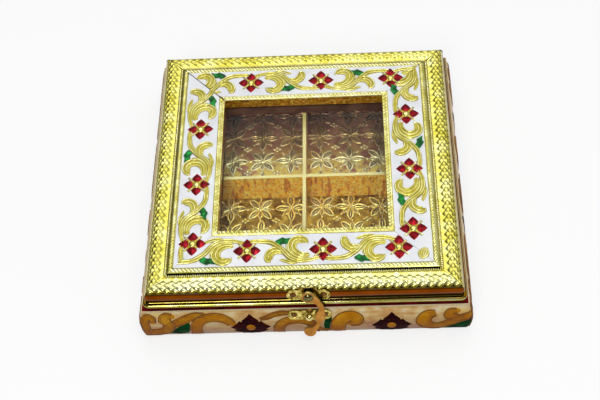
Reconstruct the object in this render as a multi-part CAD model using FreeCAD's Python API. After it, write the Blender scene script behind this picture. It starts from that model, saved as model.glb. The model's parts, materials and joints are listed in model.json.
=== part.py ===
# Square dry fruit box: a foil-clad tray with four compartments under a hinged glass-topped lid.
# Millimetres, +Z up. The origin is the centre of the underside, and the clasp faces -Y.
import FreeCAD, Part
import math
import os

# Base tray
base_width = 205.6
base_height = 25.7
bulge_radius = 43.0
bulge_height = 9.4
base_corner_radius = 4.5
wall_thickness = 12.8
floor_board_thickness = 2.4
floor_board_seat = 5.0
foil_thickness = 0.8
foil_lift = 0.4
rim_trim_thickness = 0.6
rim_trim_inset = 0.1
wall_liner_thickness = 0.5
floor_liner_thickness = 0.6
divider_thickness = 2.2
divider_below_rim = 0.3

# Lid
lid_gap = 0.3
box_height = 42.0
lining_thickness = 0.4
lining_inset = 1.8
bead_radius = 1.7
lid_setback = 4.6
lid_corner_radius = 4.2
shoulder_setback = 1.9
shoulder_radius = 6.4
shoulder_below_panel = 1.1
shoulder_wrap = 12.0
cove_depth = 1.2
panel_step = 1.8
rail_setback = 15.8
rail_width = 3.8
rail_rise = 0.1
enamel_width = 22.0
enamel_thickness = 0.4
window_bead_width = 3.8
window_bead_rise = 1.6
window_bead_edge = 0.2
window_lip_depth = 6.8
glass_thickness = 2.0
glass_overlap = 4.4
glazing_strip_setback = 0.3

# Hinges
hinge_from_corner = 47.8
hinge_length = 26.0
hinge_middle_knuckle = 10.0
knuckle_radius = 2.0
hinge_pin_radius = 0.9
hinge_pin_head_radius = 1.5
hinge_pin_head_length = 0.6
leaf_thickness = 0.8
leaf_inset = 1.0
lid_opening = 105.0
stop_margin = 3.0
stop_radius = 4.0
base_stop_drop = 50.0
leaf_screw_radius = 0.8
leaf_screw_head_radius = 1.6
leaf_screw_length = 7.0
leaf_screw_spacing = 17.0
leaf_screw_from_edge = 3.6

# Clasp
clasp_offset = 3.2
keeper_step = 1.03
plate_thickness = 0.8
plate_body_width = 10.4
plate_top = 5.2
plate_bottom = -5.3
plate_corner_radius = 1.8
plate_bridge_width = 7.3
plate_ear_radius = 3.9
plate_ear_spacing = 18.4
plate_dish_radius = 2.8
plate_dish_depth = 0.35
plate_ear_height = -0.8
keeper_body_width = 11.0
keeper_rim_margin = 0.4
keeper_body_height = 8.0
keeper_ear_spacing = 18.8
keeper_ear_drop = 3.9
keeper_notch_width = 2.6
keeper_notch_depth = 1.8
pivot_above_seat = 1.2
rivet_radius = 1.2
rivet_collar_radius = 2.2
rivet_head_radius = 2.6
rivet_head_height = 1.1
hook_thickness = 1.4
hook_boss_radius = 4.1
stud_drop = 3.0
stud_neck_radius = 1.1
stud_ball_radius = 2.35
stud_ball_lift = 2.8
plate_screw_radius = 0.9
plate_screw_head_radius = 2.0
plate_screw_head_height = 0.6
plate_screw_length = 7.0

# Clearances
mitre_gap = 0.1
glue_line = 0.03
fit_gap = 0.1
moving_gap = 0.3
running_fit = 0.06
tap_fit = 0.02

X_AXIS = FreeCAD.Vector(1, 0, 0)
Z_AXIS = FreeCAD.Vector(0, 0, 1)
ORIGIN = FreeCAD.Vector(0, 0, 0)
SIDES = ("front", "right", "rear", "left")
REACH = base_width

# Levels and half widths that several pieces share
rim_top = base_height
wall_top = rim_top - rim_trim_thickness
lid_bottom = rim_top + lid_gap
rail_bottom = lid_bottom + lining_thickness
panel_seat = box_height - enamel_thickness
step_level = box_height - panel_step
glass_top = panel_seat - window_lip_depth
glass_bottom = glass_top - glass_thickness
base_half = base_width / 2
inner_half = base_half - wall_thickness
liner_half = inner_half - wall_liner_thickness
lid_half = base_half - lid_setback
rail_outer = lid_half - rail_setback
rail_inner = rail_outer - rail_width
enamel_outer = rail_inner - fit_gap
enamel_inner = enamel_outer - enamel_width
window_bead_outer = enamel_inner - fit_gap
window_half = window_bead_outer - window_bead_width
glass_half = window_half + glass_overlap
bulge_centre = base_half - bulge_radius
shoulder_centre = lid_half - shoulder_setback - shoulder_radius
shoulder_level = box_height - shoulder_below_panel - shoulder_radius
floor_level = floor_board_thickness + floor_liner_thickness

os.makedirs("parts", exist_ok=True)


def save(name, shape):
    shape.exportStep("parts/" + name + ".step")


def box(low, high):
    size = [high[i] - low[i] for i in range(3)]
    return Part.makeBox(*size, FreeCAD.Vector(*low))


def rod(radius, start, direction, length):
    return Part.makeCylinder(radius, length, FreeCAD.Vector(*start), direction)


def whole(shape):
    """One clean solid from a boolean result."""
    return shape.removeSplitter().Solids[0]


def section(start, *runs):
    """Closed face across the front side, from (half width, height) points.

    A run of one point is a straight edge to it, and a run of two is an arc through the first."""
    def place(point):
        return FreeCAD.Vector(0, -point[0], point[1])
    edges = []
    here = start
    for run in runs + ((start,),):
        if len(run) == 1:
            edges.append(Part.LineSegment(place(here), place(run[0])).toShape())
        else:
            edges.append(Part.Arc(place(here), place(run[0]), place(run[1])).toShape())
        here = run[-1]
    return Part.Face(Part.Wire(edges))


def on_circle(centre, radius, degrees):
    angle = math.radians(degrees)
    return (centre[0] + radius * math.cos(angle), centre[1] + radius * math.sin(angle))


def mitre_wedge(height):
    """The quarter of the plan that the front side fills, less its share of the mitre gap."""
    inset = mitre_gap * math.sqrt(2)
    corners = [(0, -inset), (REACH - inset, -REACH), (inset - REACH, -REACH)]
    points = [FreeCAD.Vector(x, y, -height) for x, y in corners]
    plan = Part.Face(Part.makePolygon(points + points[:1]))
    return plan.extrude(FreeCAD.Vector(0, 0, 3 * height))


def front_stick(face, corner_half=None):
    """A section run along the front and mitred, with its outer corners turned round corner_half."""
    wedge = mitre_wedge(box_height)
    run = face.copy()
    run.translate(FreeCAD.Vector(-REACH, 0, 0))
    run = run.extrude(FreeCAD.Vector(2 * REACH, 0, 0))
    if corner_half is None:
        return whole(run.common(wedge))
    low, high = -box_height, 2 * box_height
    inside = box((-REACH, -corner_half, low), (REACH, REACH, high))
    outside = box((-corner_half, -REACH, low), (corner_half, -corner_half, high))
    pieces = [run.common(outside)]
    turned = face.common(box((-1, -REACH, low), (1, -corner_half, high)))
    for side in (1, -1):
        end = turned.copy()
        end.translate(FreeCAD.Vector(side * corner_half, 0, 0))
        pivot = FreeCAD.Vector(side * corner_half, -corner_half, 0)
        pieces.append(end.revolve(pivot, Z_AXIS, side * 45).common(wedge))
    return whole(run.common(inside).common(wedge).fuse(pieces))


def four_sides(front):
    """The front piece turned to all four sides."""
    pieces = {}
    for index, side in enumerate(SIDES):
        pieces[side] = front.copy()
        pieces[side].rotate(ORIGIN, Z_AXIS, 90 * index)
    return pieces


def rectangle_section(inner, outer, low, high):
    return section((inner, low), ((outer, low),), ((outer, high),), ((inner, high),))


def upright_edges(shape):
    return [e for e in shape.Edges if abs(e.tangentAt(e.FirstParameter).z) > 0.9]


def square_ring(inner, outer, low, high, corner_radius):
    ring = box((-outer, -outer, low), (outer, outer, high))
    ring = ring.makeFillet(corner_radius, upright_edges(ring))
    return ring.cut(box((-inner, -inner, low - 1), (inner, inner, high + 1)))


def bulge_half(height, radius):
    """Half width of the convex base side at a height."""
    return bulge_centre + math.sqrt(radius ** 2 - (height - bulge_height) ** 2)


# Hinge axis: in the lid joint, just behind the lid's lowest bead
hinge_y = lid_half + knuckle_radius + moving_gap + fit_gap
hinge_z = (rim_top + lid_bottom) / 2
leaf_front = inner_half + leaf_inset
hinge_places = (hinge_from_corner - base_half, base_half - hinge_from_corner)
knuckle_clear = knuckle_radius + moving_gap
middle_half = hinge_middle_knuckle / 2
hinge_half = hinge_length / 2


def leaf_screw_place(x, face):
    return (x, leaf_front + leaf_screw_from_edge, face)


def leaf_screw(x, face, direction, growth):
    """Countersunk screw flush with a leaf's face at height face, driven along direction."""
    axis = FreeCAD.Vector(0, 0, direction)
    start = leaf_screw_place(x, face)
    head = Part.makeCone(leaf_screw_head_radius + growth, leaf_screw_radius + growth, leaf_thickness,
                         FreeCAD.Vector(*start), axis)
    shank = rod(leaf_screw_radius + growth, start, axis, leaf_screw_length + growth)
    return head.fuse(shank).removeSplitter()


def leaf_screw_columns():
    return [x + s * leaf_screw_spacing / 2 for x in hinge_places for s in (-1, 1)]


def leaf_screws(face, direction, growth):
    return [leaf_screw(x, face, direction, growth) for x in leaf_screw_columns()]


def leaf_screw_pilots(face, direction):
    axis = FreeCAD.Vector(0, 0, direction)
    return [rod(leaf_screw_radius + glue_line, leaf_screw_place(x, face), axis, leaf_screw_length + glue_line)
            for x in leaf_screw_columns()]


def knuckle_run(x, start, end, radius):
    return rod(radius, (x + start, hinge_y, hinge_z), X_AXIS, end - start)


def stop_lip(x, low, high, degrees):
    """Full-length lip behind the knuckles, whose working face lies in a plane through the axis."""
    lip = box((x - hinge_half, hinge_y, hinge_z + low),
              (x + hinge_half, hinge_y + stop_radius, hinge_z + high))
    lip.rotate(FreeCAD.Vector(x, hinge_y, hinge_z), X_AXIS, degrees)
    return lip


def hinge_leaf(x, low, own_runs, other_runs, lip, bore_fit, screw_cutters):
    """One leaf: plate, rolled knuckles and stop lip, cut clear of the other leaf's knuckles."""
    plate = box((x - hinge_half, leaf_front, low), (x + hinge_half, hinge_y, low + leaf_thickness))
    leaf = plate.fuse([lip] + [knuckle_run(x, a, b, knuckle_radius) for a, b in own_runs])
    clear = [knuckle_run(x, a, b, knuckle_clear) for a, b in other_runs]
    bore = knuckle_run(x, -hinge_half - 1, hinge_half + 1, hinge_pin_radius + bore_fit)
    return whole(leaf.cut(clear + [bore] + screw_cutters))


def make_hinges():
    outer_runs = ((-hinge_half, -middle_half - moving_gap / 2), (middle_half + moving_gap / 2, hinge_half))
    middle_run = ((-middle_half + moving_gap / 2, middle_half - moving_gap / 2),)
    around_outer = ((-hinge_half - 1, -middle_half + moving_gap / 2),
                    (middle_half - moving_gap / 2, hinge_half + 1))
    around_middle = ((-middle_half - moving_gap / 2, middle_half + moving_gap / 2),)
    lid_stop = lid_opening + stop_margin - base_stop_drop
    for side, x in zip(("left", "right"), hinge_places):
        save("hinge_" + side + "_base_leaf", hinge_leaf(
            x, rim_top - leaf_thickness, outer_runs, around_middle,
            stop_lip(x, -leaf_thickness, 0, -base_stop_drop), tap_fit, leaf_screws(rim_top, -1, glue_line)))
        save("hinge_" + side + "_lid_leaf", hinge_leaf(
            x, lid_bottom, middle_run, around_outer,
            stop_lip(x, 0, leaf_thickness, lid_stop), running_fit, leaf_screws(lid_bottom, 1, glue_line)))
        pin = knuckle_run(x, -hinge_half - fit_gap, hinge_half + fit_gap, hinge_pin_radius)
        head_start = hinge_half + fit_gap
        heads = [knuckle_run(x, head_start, head_start + hinge_pin_head_length, hinge_pin_head_radius),
                 knuckle_run(x, -head_start - hinge_pin_head_length, -head_start, hinge_pin_head_radius)]
        save("hinge_" + side + "_pin", whole(pin.fuse(heads)))
    save("hinge_base_screws", Part.makeCompound(leaf_screws(rim_top, -1, 0)))
    save("hinge_lid_screws", Part.makeCompound(leaf_screws(lid_bottom, 1, 0)))


def base_hinge_cutters():
    """Leaf seats, knuckle notches and screw holes in the rear of the tray."""
    cutters = leaf_screw_pilots(rim_top, -1)
    notch_half = hinge_half + fit_gap + hinge_pin_head_length + moving_gap
    for x in hinge_places:
        cutters.append(box((x - hinge_half - fit_gap, leaf_front - fit_gap, rim_top - leaf_thickness),
                           (x + hinge_half + fit_gap, hinge_y, box_height)))
        notch_low = hinge_z - stop_radius - moving_gap
        cutters.append(box((x - notch_half, hinge_y - knuckle_clear - fit_gap, notch_low),
                           (x + notch_half, REACH, box_height)))
    return cutters


def lid_hinge_cutters():
    """Leaf seats and screw holes in the rear of the lid."""
    cutters = leaf_screw_pilots(lid_bottom, 1)
    for x in hinge_places:
        cutters.append(box((x - hinge_half - fit_gap, leaf_front - fit_gap, 0),
                           (x + hinge_half + fit_gap, hinge_y, lid_bottom + leaf_thickness)))
    return cutters


# Clasp plane: it leans back until it touches the lid's shoulder and, one keeper step out, the base's bulge.
# Its own axes are X across, Y up the plane and Z outwards, from where it meets the shoulder.
centres_in = shoulder_centre - bulge_centre
centres_up = shoulder_level - bulge_height
bulge_excess = bulge_radius - shoulder_radius - keeper_step
clasp_lean = math.degrees(math.atan2(centres_up, centres_in)
                          - math.acos(bulge_excess / math.hypot(centres_in, centres_up)))
clasp_foot = on_circle((shoulder_centre, shoulder_level), shoulder_radius + glue_line, clasp_lean)
clasp_place = FreeCAD.Placement(FreeCAD.Vector(clasp_offset, -clasp_foot[0], clasp_foot[1]),
                                FreeCAD.Rotation(X_AXIS, 90 - clasp_lean))
keeper_foot = on_circle((bulge_centre, bulge_height), bulge_radius + glue_line, clasp_lean)
keeper_seat = clasp_place.inverse().multVec(FreeCAD.Vector(clasp_offset, -keeper_foot[0], keeper_foot[1]))
rim_edge = clasp_place.inverse().multVec(
    FreeCAD.Vector(clasp_offset, -bulge_half(rim_top, bulge_radius), rim_top))
pivot_y = pivot_above_seat
keeper_top = rim_edge.y - keeper_rim_margin
keeper_ear_y = keeper_top - keeper_ear_drop
stud_y = keeper_top - stud_drop
hook_back = keeper_seat.z + plate_thickness + plate_screw_head_height + moving_gap
hook_front = hook_back + hook_thickness


def on_clasp(shape):
    """A shape drawn in the clasp plane, put on the box."""
    placed = shape.copy()
    placed.Placement = clasp_place.multiply(placed.Placement)
    return placed


def eared_plate(width, low, high, ear_spacing, ear_y, back, holes):
    """Flat plate with a round dished ear each side, drawn in the clasp plane."""
    front = back + plate_thickness
    dish_floor = front - plate_dish_depth
    dishes = [rod(plate_dish_radius, (s * ear_spacing / 2, ear_y, dish_floor), Z_AXIS, plate_thickness)
              for s in (-1, 1)]
    ears = [rod(plate_ear_radius, (s * ear_spacing / 2, ear_y, back), Z_AXIS, plate_thickness)
            for s in (-1, 1)]
    body = box((-width / 2, low, back), (width / 2, high, front))
    body = body.makeFillet(plate_corner_radius, upright_edges(body))
    bridge_half = plate_bridge_width / 2
    bridge = box((-ear_spacing / 2, ear_y - bridge_half, back), (ear_spacing / 2, ear_y + bridge_half, front))
    return whole(body.fuse(ears + [bridge]).cut(dishes + holes))


def ear_screw(x, y, back, growth):
    """Round-headed screw through an ear, its head in the dish."""
    seat = back + plate_thickness - plate_dish_depth
    shank = rod(plate_screw_radius + growth, (x, y, seat - plate_screw_length), Z_AXIS, plate_screw_length)
    if growth:
        return shank
    ball = (plate_screw_head_radius ** 2 + plate_screw_head_height ** 2) / (2 * plate_screw_head_height)
    dome = Part.makeSphere(ball, FreeCAD.Vector(x, y, seat + plate_screw_head_height - ball))
    head = dome.common(rod(2 * ball, (x, y, seat), Z_AXIS, ball))
    return whole(shank.fuse(head))


def ear_screws(spacing, y, back, growth=0):
    return [ear_screw(s * spacing / 2, y, back, growth) for s in (-1, 1)]


def hook_outline():
    """Hook seen from the front: boss round the pivot, bowed arm, then nub, catch and thumb tab."""
    def at_pivot(x, y):
        return FreeCAD.Vector(x, pivot_y + y, hook_back)

    def at_stud(x, y):
        return FreeCAD.Vector(x, stud_y + y, hook_back)
    boss = hook_boss_radius
    start = at_pivot(*on_circle((0, 0), boss, 40))
    arm = ((at_pivot(6.6, -2.4), at_pivot(9.4, -9.5)),
           (at_stud(9.4, 1.6), at_stud(6.8, -6.2)),
           (at_stud(5.3, -9.8), at_stud(3.6, -12.8)))
    tab = ((at_stud(3.2, -15.1), at_stud(0.0, -17.4)),
           (at_stud(-3.3, -15.2), at_stud(-3.9, -12.7)),
           (at_stud(-3.3, -11.1), at_stud(-1.9, -10.3)))
    catch = ((at_stud(2.5, -9.0), at_stud(4.1, -4.0)),
             (at_stud(3.8, -2.3), at_stud(3.0, -0.9)),
             (at_stud(4.0, 1.3), at_stud(5.9, 5.4)))
    boss_side = ((at_pivot(5.2, -7.0), at_pivot(3.2, -4.7)),
                 (at_pivot(1.4, -4.2), at_pivot(*on_circle((0, 0), boss, 262))),
                 (at_pivot(-boss, 0.0), start))
    arcs = arm + tab + catch + boss_side
    edges = []
    here = start
    for middle, end in arcs:
        edges.append(Part.Arc(here, middle, end).toShape())
        here = end
    return Part.Face(Part.Wire(edges))


def make_clasp():
    ear_y = pivot_y + plate_ear_height
    rivet_hole = rod(rivet_radius + tap_fit, (0, pivot_y, -1), Z_AXIS, hook_front + 2)
    holes = ear_screws(plate_ear_spacing, ear_y, 0, glue_line) + [rivet_hole]
    save("clasp_plate", on_clasp(eared_plate(plate_body_width, pivot_y + plate_bottom, pivot_y + plate_top,
                                             plate_ear_spacing, ear_y, 0, holes)))
    screws = [on_clasp(s) for s in ear_screws(plate_ear_spacing, ear_y, 0)]
    save("clasp_plate_screws", Part.makeCompound(screws))

    collar = rod(rivet_collar_radius, (0, pivot_y, plate_thickness), Z_AXIS,
                 hook_back - fit_gap - plate_thickness)
    head_foot = hook_front + fit_gap
    ball = (rivet_head_radius ** 2 + rivet_head_height ** 2) / (2 * rivet_head_height)
    dome = Part.makeSphere(ball, FreeCAD.Vector(0, pivot_y, head_foot + rivet_head_height - ball))
    head = dome.common(rod(2 * ball, (0, pivot_y, head_foot), Z_AXIS, ball))
    shank = rod(rivet_radius, (0, pivot_y, 0), Z_AXIS, head_foot + rivet_head_height / 2)
    save("clasp_rivet", on_clasp(whole(shank.fuse([collar, head]))))

    hook = hook_outline().extrude(FreeCAD.Vector(0, 0, hook_thickness))
    hook = hook.cut(rod(rivet_radius + running_fit, (0, pivot_y, 0), Z_AXIS, hook_front + 1))
    save("clasp_hook", on_clasp(whole(hook)))

    back = keeper_seat.z
    notch = box((-keeper_notch_width / 2, keeper_top - keeper_notch_depth, back - 1),
                (keeper_notch_width / 2, keeper_top + 1, back + plate_thickness + 1))
    stud_hole = rod(stud_neck_radius + tap_fit, (0, stud_y, back - 1), Z_AXIS, plate_thickness + 2)
    holes = ear_screws(keeper_ear_spacing, keeper_ear_y, back, glue_line) + [notch, stud_hole]
    save("keeper_plate", on_clasp(eared_plate(keeper_body_width, keeper_top - keeper_body_height, keeper_top,
                                              keeper_ear_spacing, keeper_ear_y, back, holes)))
    screws = [on_clasp(s) for s in ear_screws(keeper_ear_spacing, keeper_ear_y, back)]
    save("keeper_plate_screws", Part.makeCompound(screws))
    neck = rod(stud_neck_radius, (0, stud_y, back), Z_AXIS, plate_thickness + stud_ball_lift)
    ball_centre = FreeCAD.Vector(0, stud_y, back + plate_thickness + stud_ball_lift)
    ball = Part.makeSphere(stud_ball_radius, ball_centre)
    save("keeper_stud", on_clasp(whole(neck.fuse(ball))))


def clasp_cutters(spacing, y, back):
    return [on_clasp(s) for s in ear_screws(spacing, y, back, glue_line)]


# Tray: mitred convex walls with a rebate for the floor board, each clad in one strip of foil
def make_base():
    corner_half = base_half - base_corner_radius
    wall_radius = bulge_radius - foil_thickness - glue_line
    board_half = inner_half + floor_board_seat
    rebate_half = board_half + fit_gap
    widest = (bulge_centre + wall_radius, bulge_height)
    wall_face = section((inner_half, floor_board_thickness),
                        ((inner_half, wall_top),),
                        ((bulge_half(wall_top, wall_radius), wall_top),),
                        (widest, (bulge_half(0, wall_radius), 0)),
                        ((rebate_half, 0),),
                        ((rebate_half, floor_board_thickness),))
    foil_back = bulge_radius - foil_thickness
    foil_face = section((bulge_half(foil_lift, foil_back), foil_lift),
                        ((bulge_centre + foil_back, bulge_height),
                         (bulge_half(wall_top, foil_back), wall_top)),
                        ((bulge_half(wall_top, bulge_radius), wall_top),),
                        ((base_half, bulge_height), (bulge_half(foil_lift, bulge_radius), foil_lift)))
    cutters = {"front": clasp_cutters(keeper_ear_spacing, keeper_ear_y, keeper_seat.z),
               "rear": base_hinge_cutters()}
    for name, face in (("base_wall_", wall_face), ("base_foil_", foil_face)):
        for side, piece in four_sides(front_stick(face, corner_half)).items():
            if side in cutters:
                piece = whole(piece.cut(cutters[side]))
            save(name + side, piece)

    save("base_floor_board", box((-board_half, -board_half, 0),
                                 (board_half, board_half, floor_board_thickness)))
    trim_half = bulge_half(rim_top, bulge_radius) - rim_trim_inset
    trim = square_ring(liner_half, trim_half, wall_top, rim_top, trim_half - corner_half)
    save("rim_trim", whole(trim.cut(base_hinge_cutters())))

    liner_face = rectangle_section(liner_half, inner_half - glue_line,
                                   floor_board_thickness + glue_line, wall_top)
    for side, piece in four_sides(front_stick(liner_face)).items():
        save("wall_liner_" + side, piece)


def make_compartments():
    half = divider_thickness / 2
    end = liner_half - fit_gap
    low = floor_board_thickness
    high = rim_top - divider_below_rim
    middle = (low + high) / 2
    slot = half + fit_gap / 2
    long_board = box((-half, -end, low), (half, end, high))
    cross_board = box((-end, -half, low), (end, half, high))
    save("divider_long", long_board.cut(box((-REACH, -slot, middle), (REACH, slot, REACH))))
    save("divider_cross", cross_board.cut(box((-slot, -REACH, 0), (slot, REACH, middle))))
    near = half + fit_gap
    far = liner_half - fit_gap
    for depth, y_side in (("front", -1), ("rear", 1)):
        for width, x_side in (("left", -1), ("right", 1)):
            xs = sorted((x_side * near, x_side * far))
            ys = sorted((y_side * near, y_side * far))
            save("floor_liner_" + depth + "_" + width,
                 box((xs[0], ys[0], floor_board_thickness), (xs[1], ys[1], floor_level)))


# Lid: mitred rails with a scaled shoulder, a cove and a bead outside, and a rebate for the glass inside
def make_lid():
    corner_half = lid_half - lid_corner_radius
    shoulder = (shoulder_centre, shoulder_level)
    bead = (lid_half - bead_radius, rail_bottom + bead_radius)
    step_angle = 180 - math.degrees(math.asin((step_level - shoulder_level) / shoulder_radius))
    shoulder_start = on_circle(shoulder, shoulder_radius, step_angle)
    shoulder_end = on_circle(shoulder, shoulder_radius, -shoulder_wrap)
    bead_start = on_circle(bead, bead_radius, 120)
    cove_middle = ((shoulder_end[0] + bead_start[0]) / 2 - cove_depth, (shoulder_end[1] + bead_start[1]) / 2)
    rebate_half = glass_half + fit_gap
    rail_face = section((rebate_half, rail_bottom),
                        ((rebate_half, glass_top),),
                        ((window_half, glass_top),),
                        ((window_half, panel_seat),),
                        ((rail_inner, panel_seat),),
                        (((rail_inner + rail_outer) / 2, box_height + rail_rise), (rail_outer, panel_seat)),
                        ((rail_outer, step_level),),
                        (shoulder_start,),
                        (on_circle(shoulder, shoulder_radius, clasp_lean + 30), shoulder_end),
                        (cove_middle, bead_start),
                        (on_circle(bead, bead_radius, 0), on_circle(bead, bead_radius, -90)))
    cutters = {"front": clasp_cutters(plate_ear_spacing, pivot_y + plate_ear_height, 0),
               "rear": lid_hinge_cutters()}
    for side, piece in four_sides(front_stick(rail_face, corner_half)).items():
        if side in cutters:
            piece = whole(piece.cut(cutters[side]))
        save("lid_rail_" + side, piece)

    enamel_face = rectangle_section(enamel_inner, enamel_outer, panel_seat, box_height)
    bead_face = section((window_half, panel_seat), ((window_bead_outer, panel_seat),),
                        (((window_half + window_bead_outer) / 2, panel_seat + window_bead_rise),
                         (window_half, panel_seat + window_bead_edge)))
    strip_face = rectangle_section(window_half + glazing_strip_setback, glass_half - fit_gap,
                                   rail_bottom, glass_bottom)
    for name, face in (("enamel_panel_", enamel_face), ("window_bead_", bead_face),
                       ("glazing_strip_", strip_face)):
        for side, piece in four_sides(front_stick(face)).items():
            save(name + side, piece)

    save("glass_pane", box((-glass_half, -glass_half, glass_bottom), (glass_half, glass_half, glass_top)))
    lining_half = lid_half - lining_inset
    lining = square_ring(window_half + glazing_strip_setback, lining_half, lid_bottom, rail_bottom,
                         lining_half - corner_half)
    save("lid_lining", whole(lining.cut(lid_hinge_cutters())))


make_base()
make_compartments()
make_lid()
make_hinges()
make_clasp()
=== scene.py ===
import json
import math
import random

import bmesh
import bpy
from mathutils import Matrix, Vector


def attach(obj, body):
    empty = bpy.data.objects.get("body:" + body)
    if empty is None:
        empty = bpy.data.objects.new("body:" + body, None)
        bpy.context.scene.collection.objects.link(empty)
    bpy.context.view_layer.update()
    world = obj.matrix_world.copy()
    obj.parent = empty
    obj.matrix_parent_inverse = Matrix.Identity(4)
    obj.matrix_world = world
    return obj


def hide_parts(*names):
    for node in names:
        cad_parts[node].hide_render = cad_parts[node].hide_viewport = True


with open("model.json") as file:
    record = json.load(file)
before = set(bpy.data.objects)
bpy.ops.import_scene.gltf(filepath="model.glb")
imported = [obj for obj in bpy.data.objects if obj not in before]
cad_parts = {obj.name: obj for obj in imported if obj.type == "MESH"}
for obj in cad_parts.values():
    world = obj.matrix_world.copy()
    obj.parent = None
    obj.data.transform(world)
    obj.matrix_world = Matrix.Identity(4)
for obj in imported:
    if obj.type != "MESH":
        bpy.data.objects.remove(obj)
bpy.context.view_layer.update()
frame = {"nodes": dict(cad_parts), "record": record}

# Everything below is drawn in millimetres and turned to metres when a piece is finished.
MM = 0.001

# The box's sides, as turns from the front about the upright axis.
SIDES = {"front": 0, "right": 90, "rear": 180, "left": 270}

# Levels and lines of the box in millimetres: "out" from the centre plane, "up" from the table.
BELLY_CENTRE_OUT = 59.8
BELLY_CENTRE_UP = 9.4
BELLY_RADIUS = 43.0
CARD_GROUND_RADIUS = 42.32
CARD_BACK_RADIUS = 42.21
CARD_LOW = 0.45
CARD_HIGH = 25.05
CARD_TURN_OUT = 98.8
BASE_CORNER_OUT = 98.3
DIVIDER_TOP_UP = 25.3
RIM_UP = 26.0
ABOVE_LID_UP = 44.0
SHOULDER_OUT = 89.9
SHOULDER_UP = 34.5
SHOULDER_RADIUS = 6.4
SHOULDER_FOOT_UP = 35.0
SHOULDER_CROWN_UP = 41.0
RAIL_INNER_OUT = 70.0
GROOVES_OUT = (80.0, 98.0)
PANEL_TOP = 42.0
PANEL_MIDDLE = 67.8
ROPE_OUT = 80.2
ROPE_UP = 41.9
BAR_ROW_OUT = 83.55
BAR_ROW_UP = 40.2
WINDOW_ROPE_OUT = 54.2
WINDOW_ROPE_UP = 42.2
WINDOW_BAR_OUT = 54.5
WINDOW_LIP_OUT = 53.5
FLOOR_TOP = 3.0


# Finishes.

def srgb(code):
    """An sRGB hex colour as the linear values that a shader takes."""
    parts = [int(code[i:i + 2], 16) / 255 for i in (1, 3, 5)]
    linear = [c / 12.92 if c <= 0.04045 else ((c + 0.055) / 1.055) ** 2.4 for c in parts]
    return (*linear, 1.0)


def per_mm(size):
    """The texture scale that makes one feature about this many millimetres across."""
    return 1.0 / (size * MM)


def add(tree, kind, feeds=None, stops=(), **settings):
    """Adds a shader node: settings are its properties, feeds its socket values or links, stops a ramp."""
    node = tree.nodes.new("ShaderNode" + kind)
    for key, value in settings.items():
        setattr(node, key, value)
    for socket, value in (feeds or {}).items():
        if isinstance(value, bpy.types.NodeSocket):
            tree.links.new(value, node.inputs[socket])
        else:
            node.inputs[socket].default_value = value
    for number, (at, colour) in enumerate(stops):
        bar = node.color_ramp.elements
        stop = bar[number] if number < 2 else bar.new(at)
        stop.position = at
        stop.color = srgb(colour)
    return node


# The parts of a noise's values, mostly near its middle, over which tones and gloss change.
TONES_START, TONES_RUN = 0.32, 0.36
GLOSS_START, GLOSS_END = 0.3, 0.7


def finish(name, tones, patch, grain, depth, rough, **sockets):
    """A finish whose colour drifts between tones, with a fine grain that also breaks up its gloss.

    patch and grain are sizes in millimetres, depth is the grain's height in millimetres,
    and rough gives the lowest and highest roughness.
    """
    mat = bpy.data.materials.new(name)
    mat.use_nodes = True
    tree = mat.node_tree
    shader = tree.nodes["Principled BSDF"]
    place = add(tree, "TexCoord", name="place").outputs["Object"]
    drift = add(tree, "TexNoise", {"Vector": place, "Scale": per_mm(patch), "Detail": 3.0})
    spread = [(TONES_START + TONES_RUN * i / (len(tones) - 1), tone) for i, tone in enumerate(tones)]
    colour = add(tree, "ValToRGB", {"Fac": drift.outputs["Fac"]}, spread)
    speck = add(tree, "TexNoise", {"Vector": place, "Scale": per_mm(grain), "Detail": 2.0})
    gloss = add(tree, "MapRange", {"Value": speck.outputs["Fac"], "From Min": GLOSS_START,
                                   "From Max": GLOSS_END, "To Min": rough[0], "To Max": rough[1]})
    relief = add(tree, "Bump", {"Height": speck.outputs["Fac"], "Distance": depth * MM})
    tree.links.new(colour.outputs["Color"], shader.inputs["Base Color"])
    tree.links.new(gloss.outputs["Result"], shader.inputs["Roughness"])
    tree.links.new(relief.outputs["Normal"], shader.inputs["Normal"])
    for socket, value in sockets.items():
        shader.inputs[socket.replace("_", " ")].default_value = value
    return mat


def overlay(mat, colour, share=1.0, how="MIX"):
    """Lays a colour over what a finish shows so far: mixed in by a share, or multiplied."""
    tree = mat.node_tree
    base = tree.nodes["Principled BSDF"].inputs["Base Color"]
    layer = add(tree, "Mix", {0: share, 6: base.links[0].from_socket, 7: colour},
                data_type="RGBA", blend_type=how)
    tree.links.new(layer.outputs[2], base)


def place_in(tree):
    """The link that tells a finish where on the box it is."""
    return tree.nodes["place"].outputs["Object"]


def graded(tree, axis, low, high, first=0.0, last=1.0):
    """A share that goes from first to last along an axis of the box, between two places in millimetres."""
    axes = add(tree, "SeparateXYZ", {"Vector": place_in(tree)})
    run = add(tree, "MapRange", {"Value": axes.outputs[axis], "From Min": low * MM, "From Max": high * MM,
                                 "To Min": first, "To Max": last})
    return run.outputs["Result"]


def distance_out(tree):
    """How far out from the centre a point lies, on whichever side it is."""
    axes = add(tree, "SeparateXYZ", {"Vector": place_in(tree)})
    across, deep = [add(tree, "Math", {0: axes.outputs[axis]}, operation="ABSOLUTE").outputs[0]
                    for axis in "XY"]
    return add(tree, "Math", {0: across, 1: deep}, operation="MAXIMUM").outputs[0]


def front_side(tree):
    """1 on the front side of the box, between its mitre lines, and 0 elsewhere."""
    axes = add(tree, "SeparateXYZ", {"Vector": place_in(tree)})
    across = add(tree, "Math", {0: axes.outputs["X"]}, operation="ABSOLUTE")
    forward = add(tree, "Math", {0: axes.outputs["Y"], 1: across.outputs[0]}, operation="ADD")
    return add(tree, "Math", {0: forward.outputs[0], 1: 0.0}, operation="LESS_THAN").outputs[0]


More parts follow.
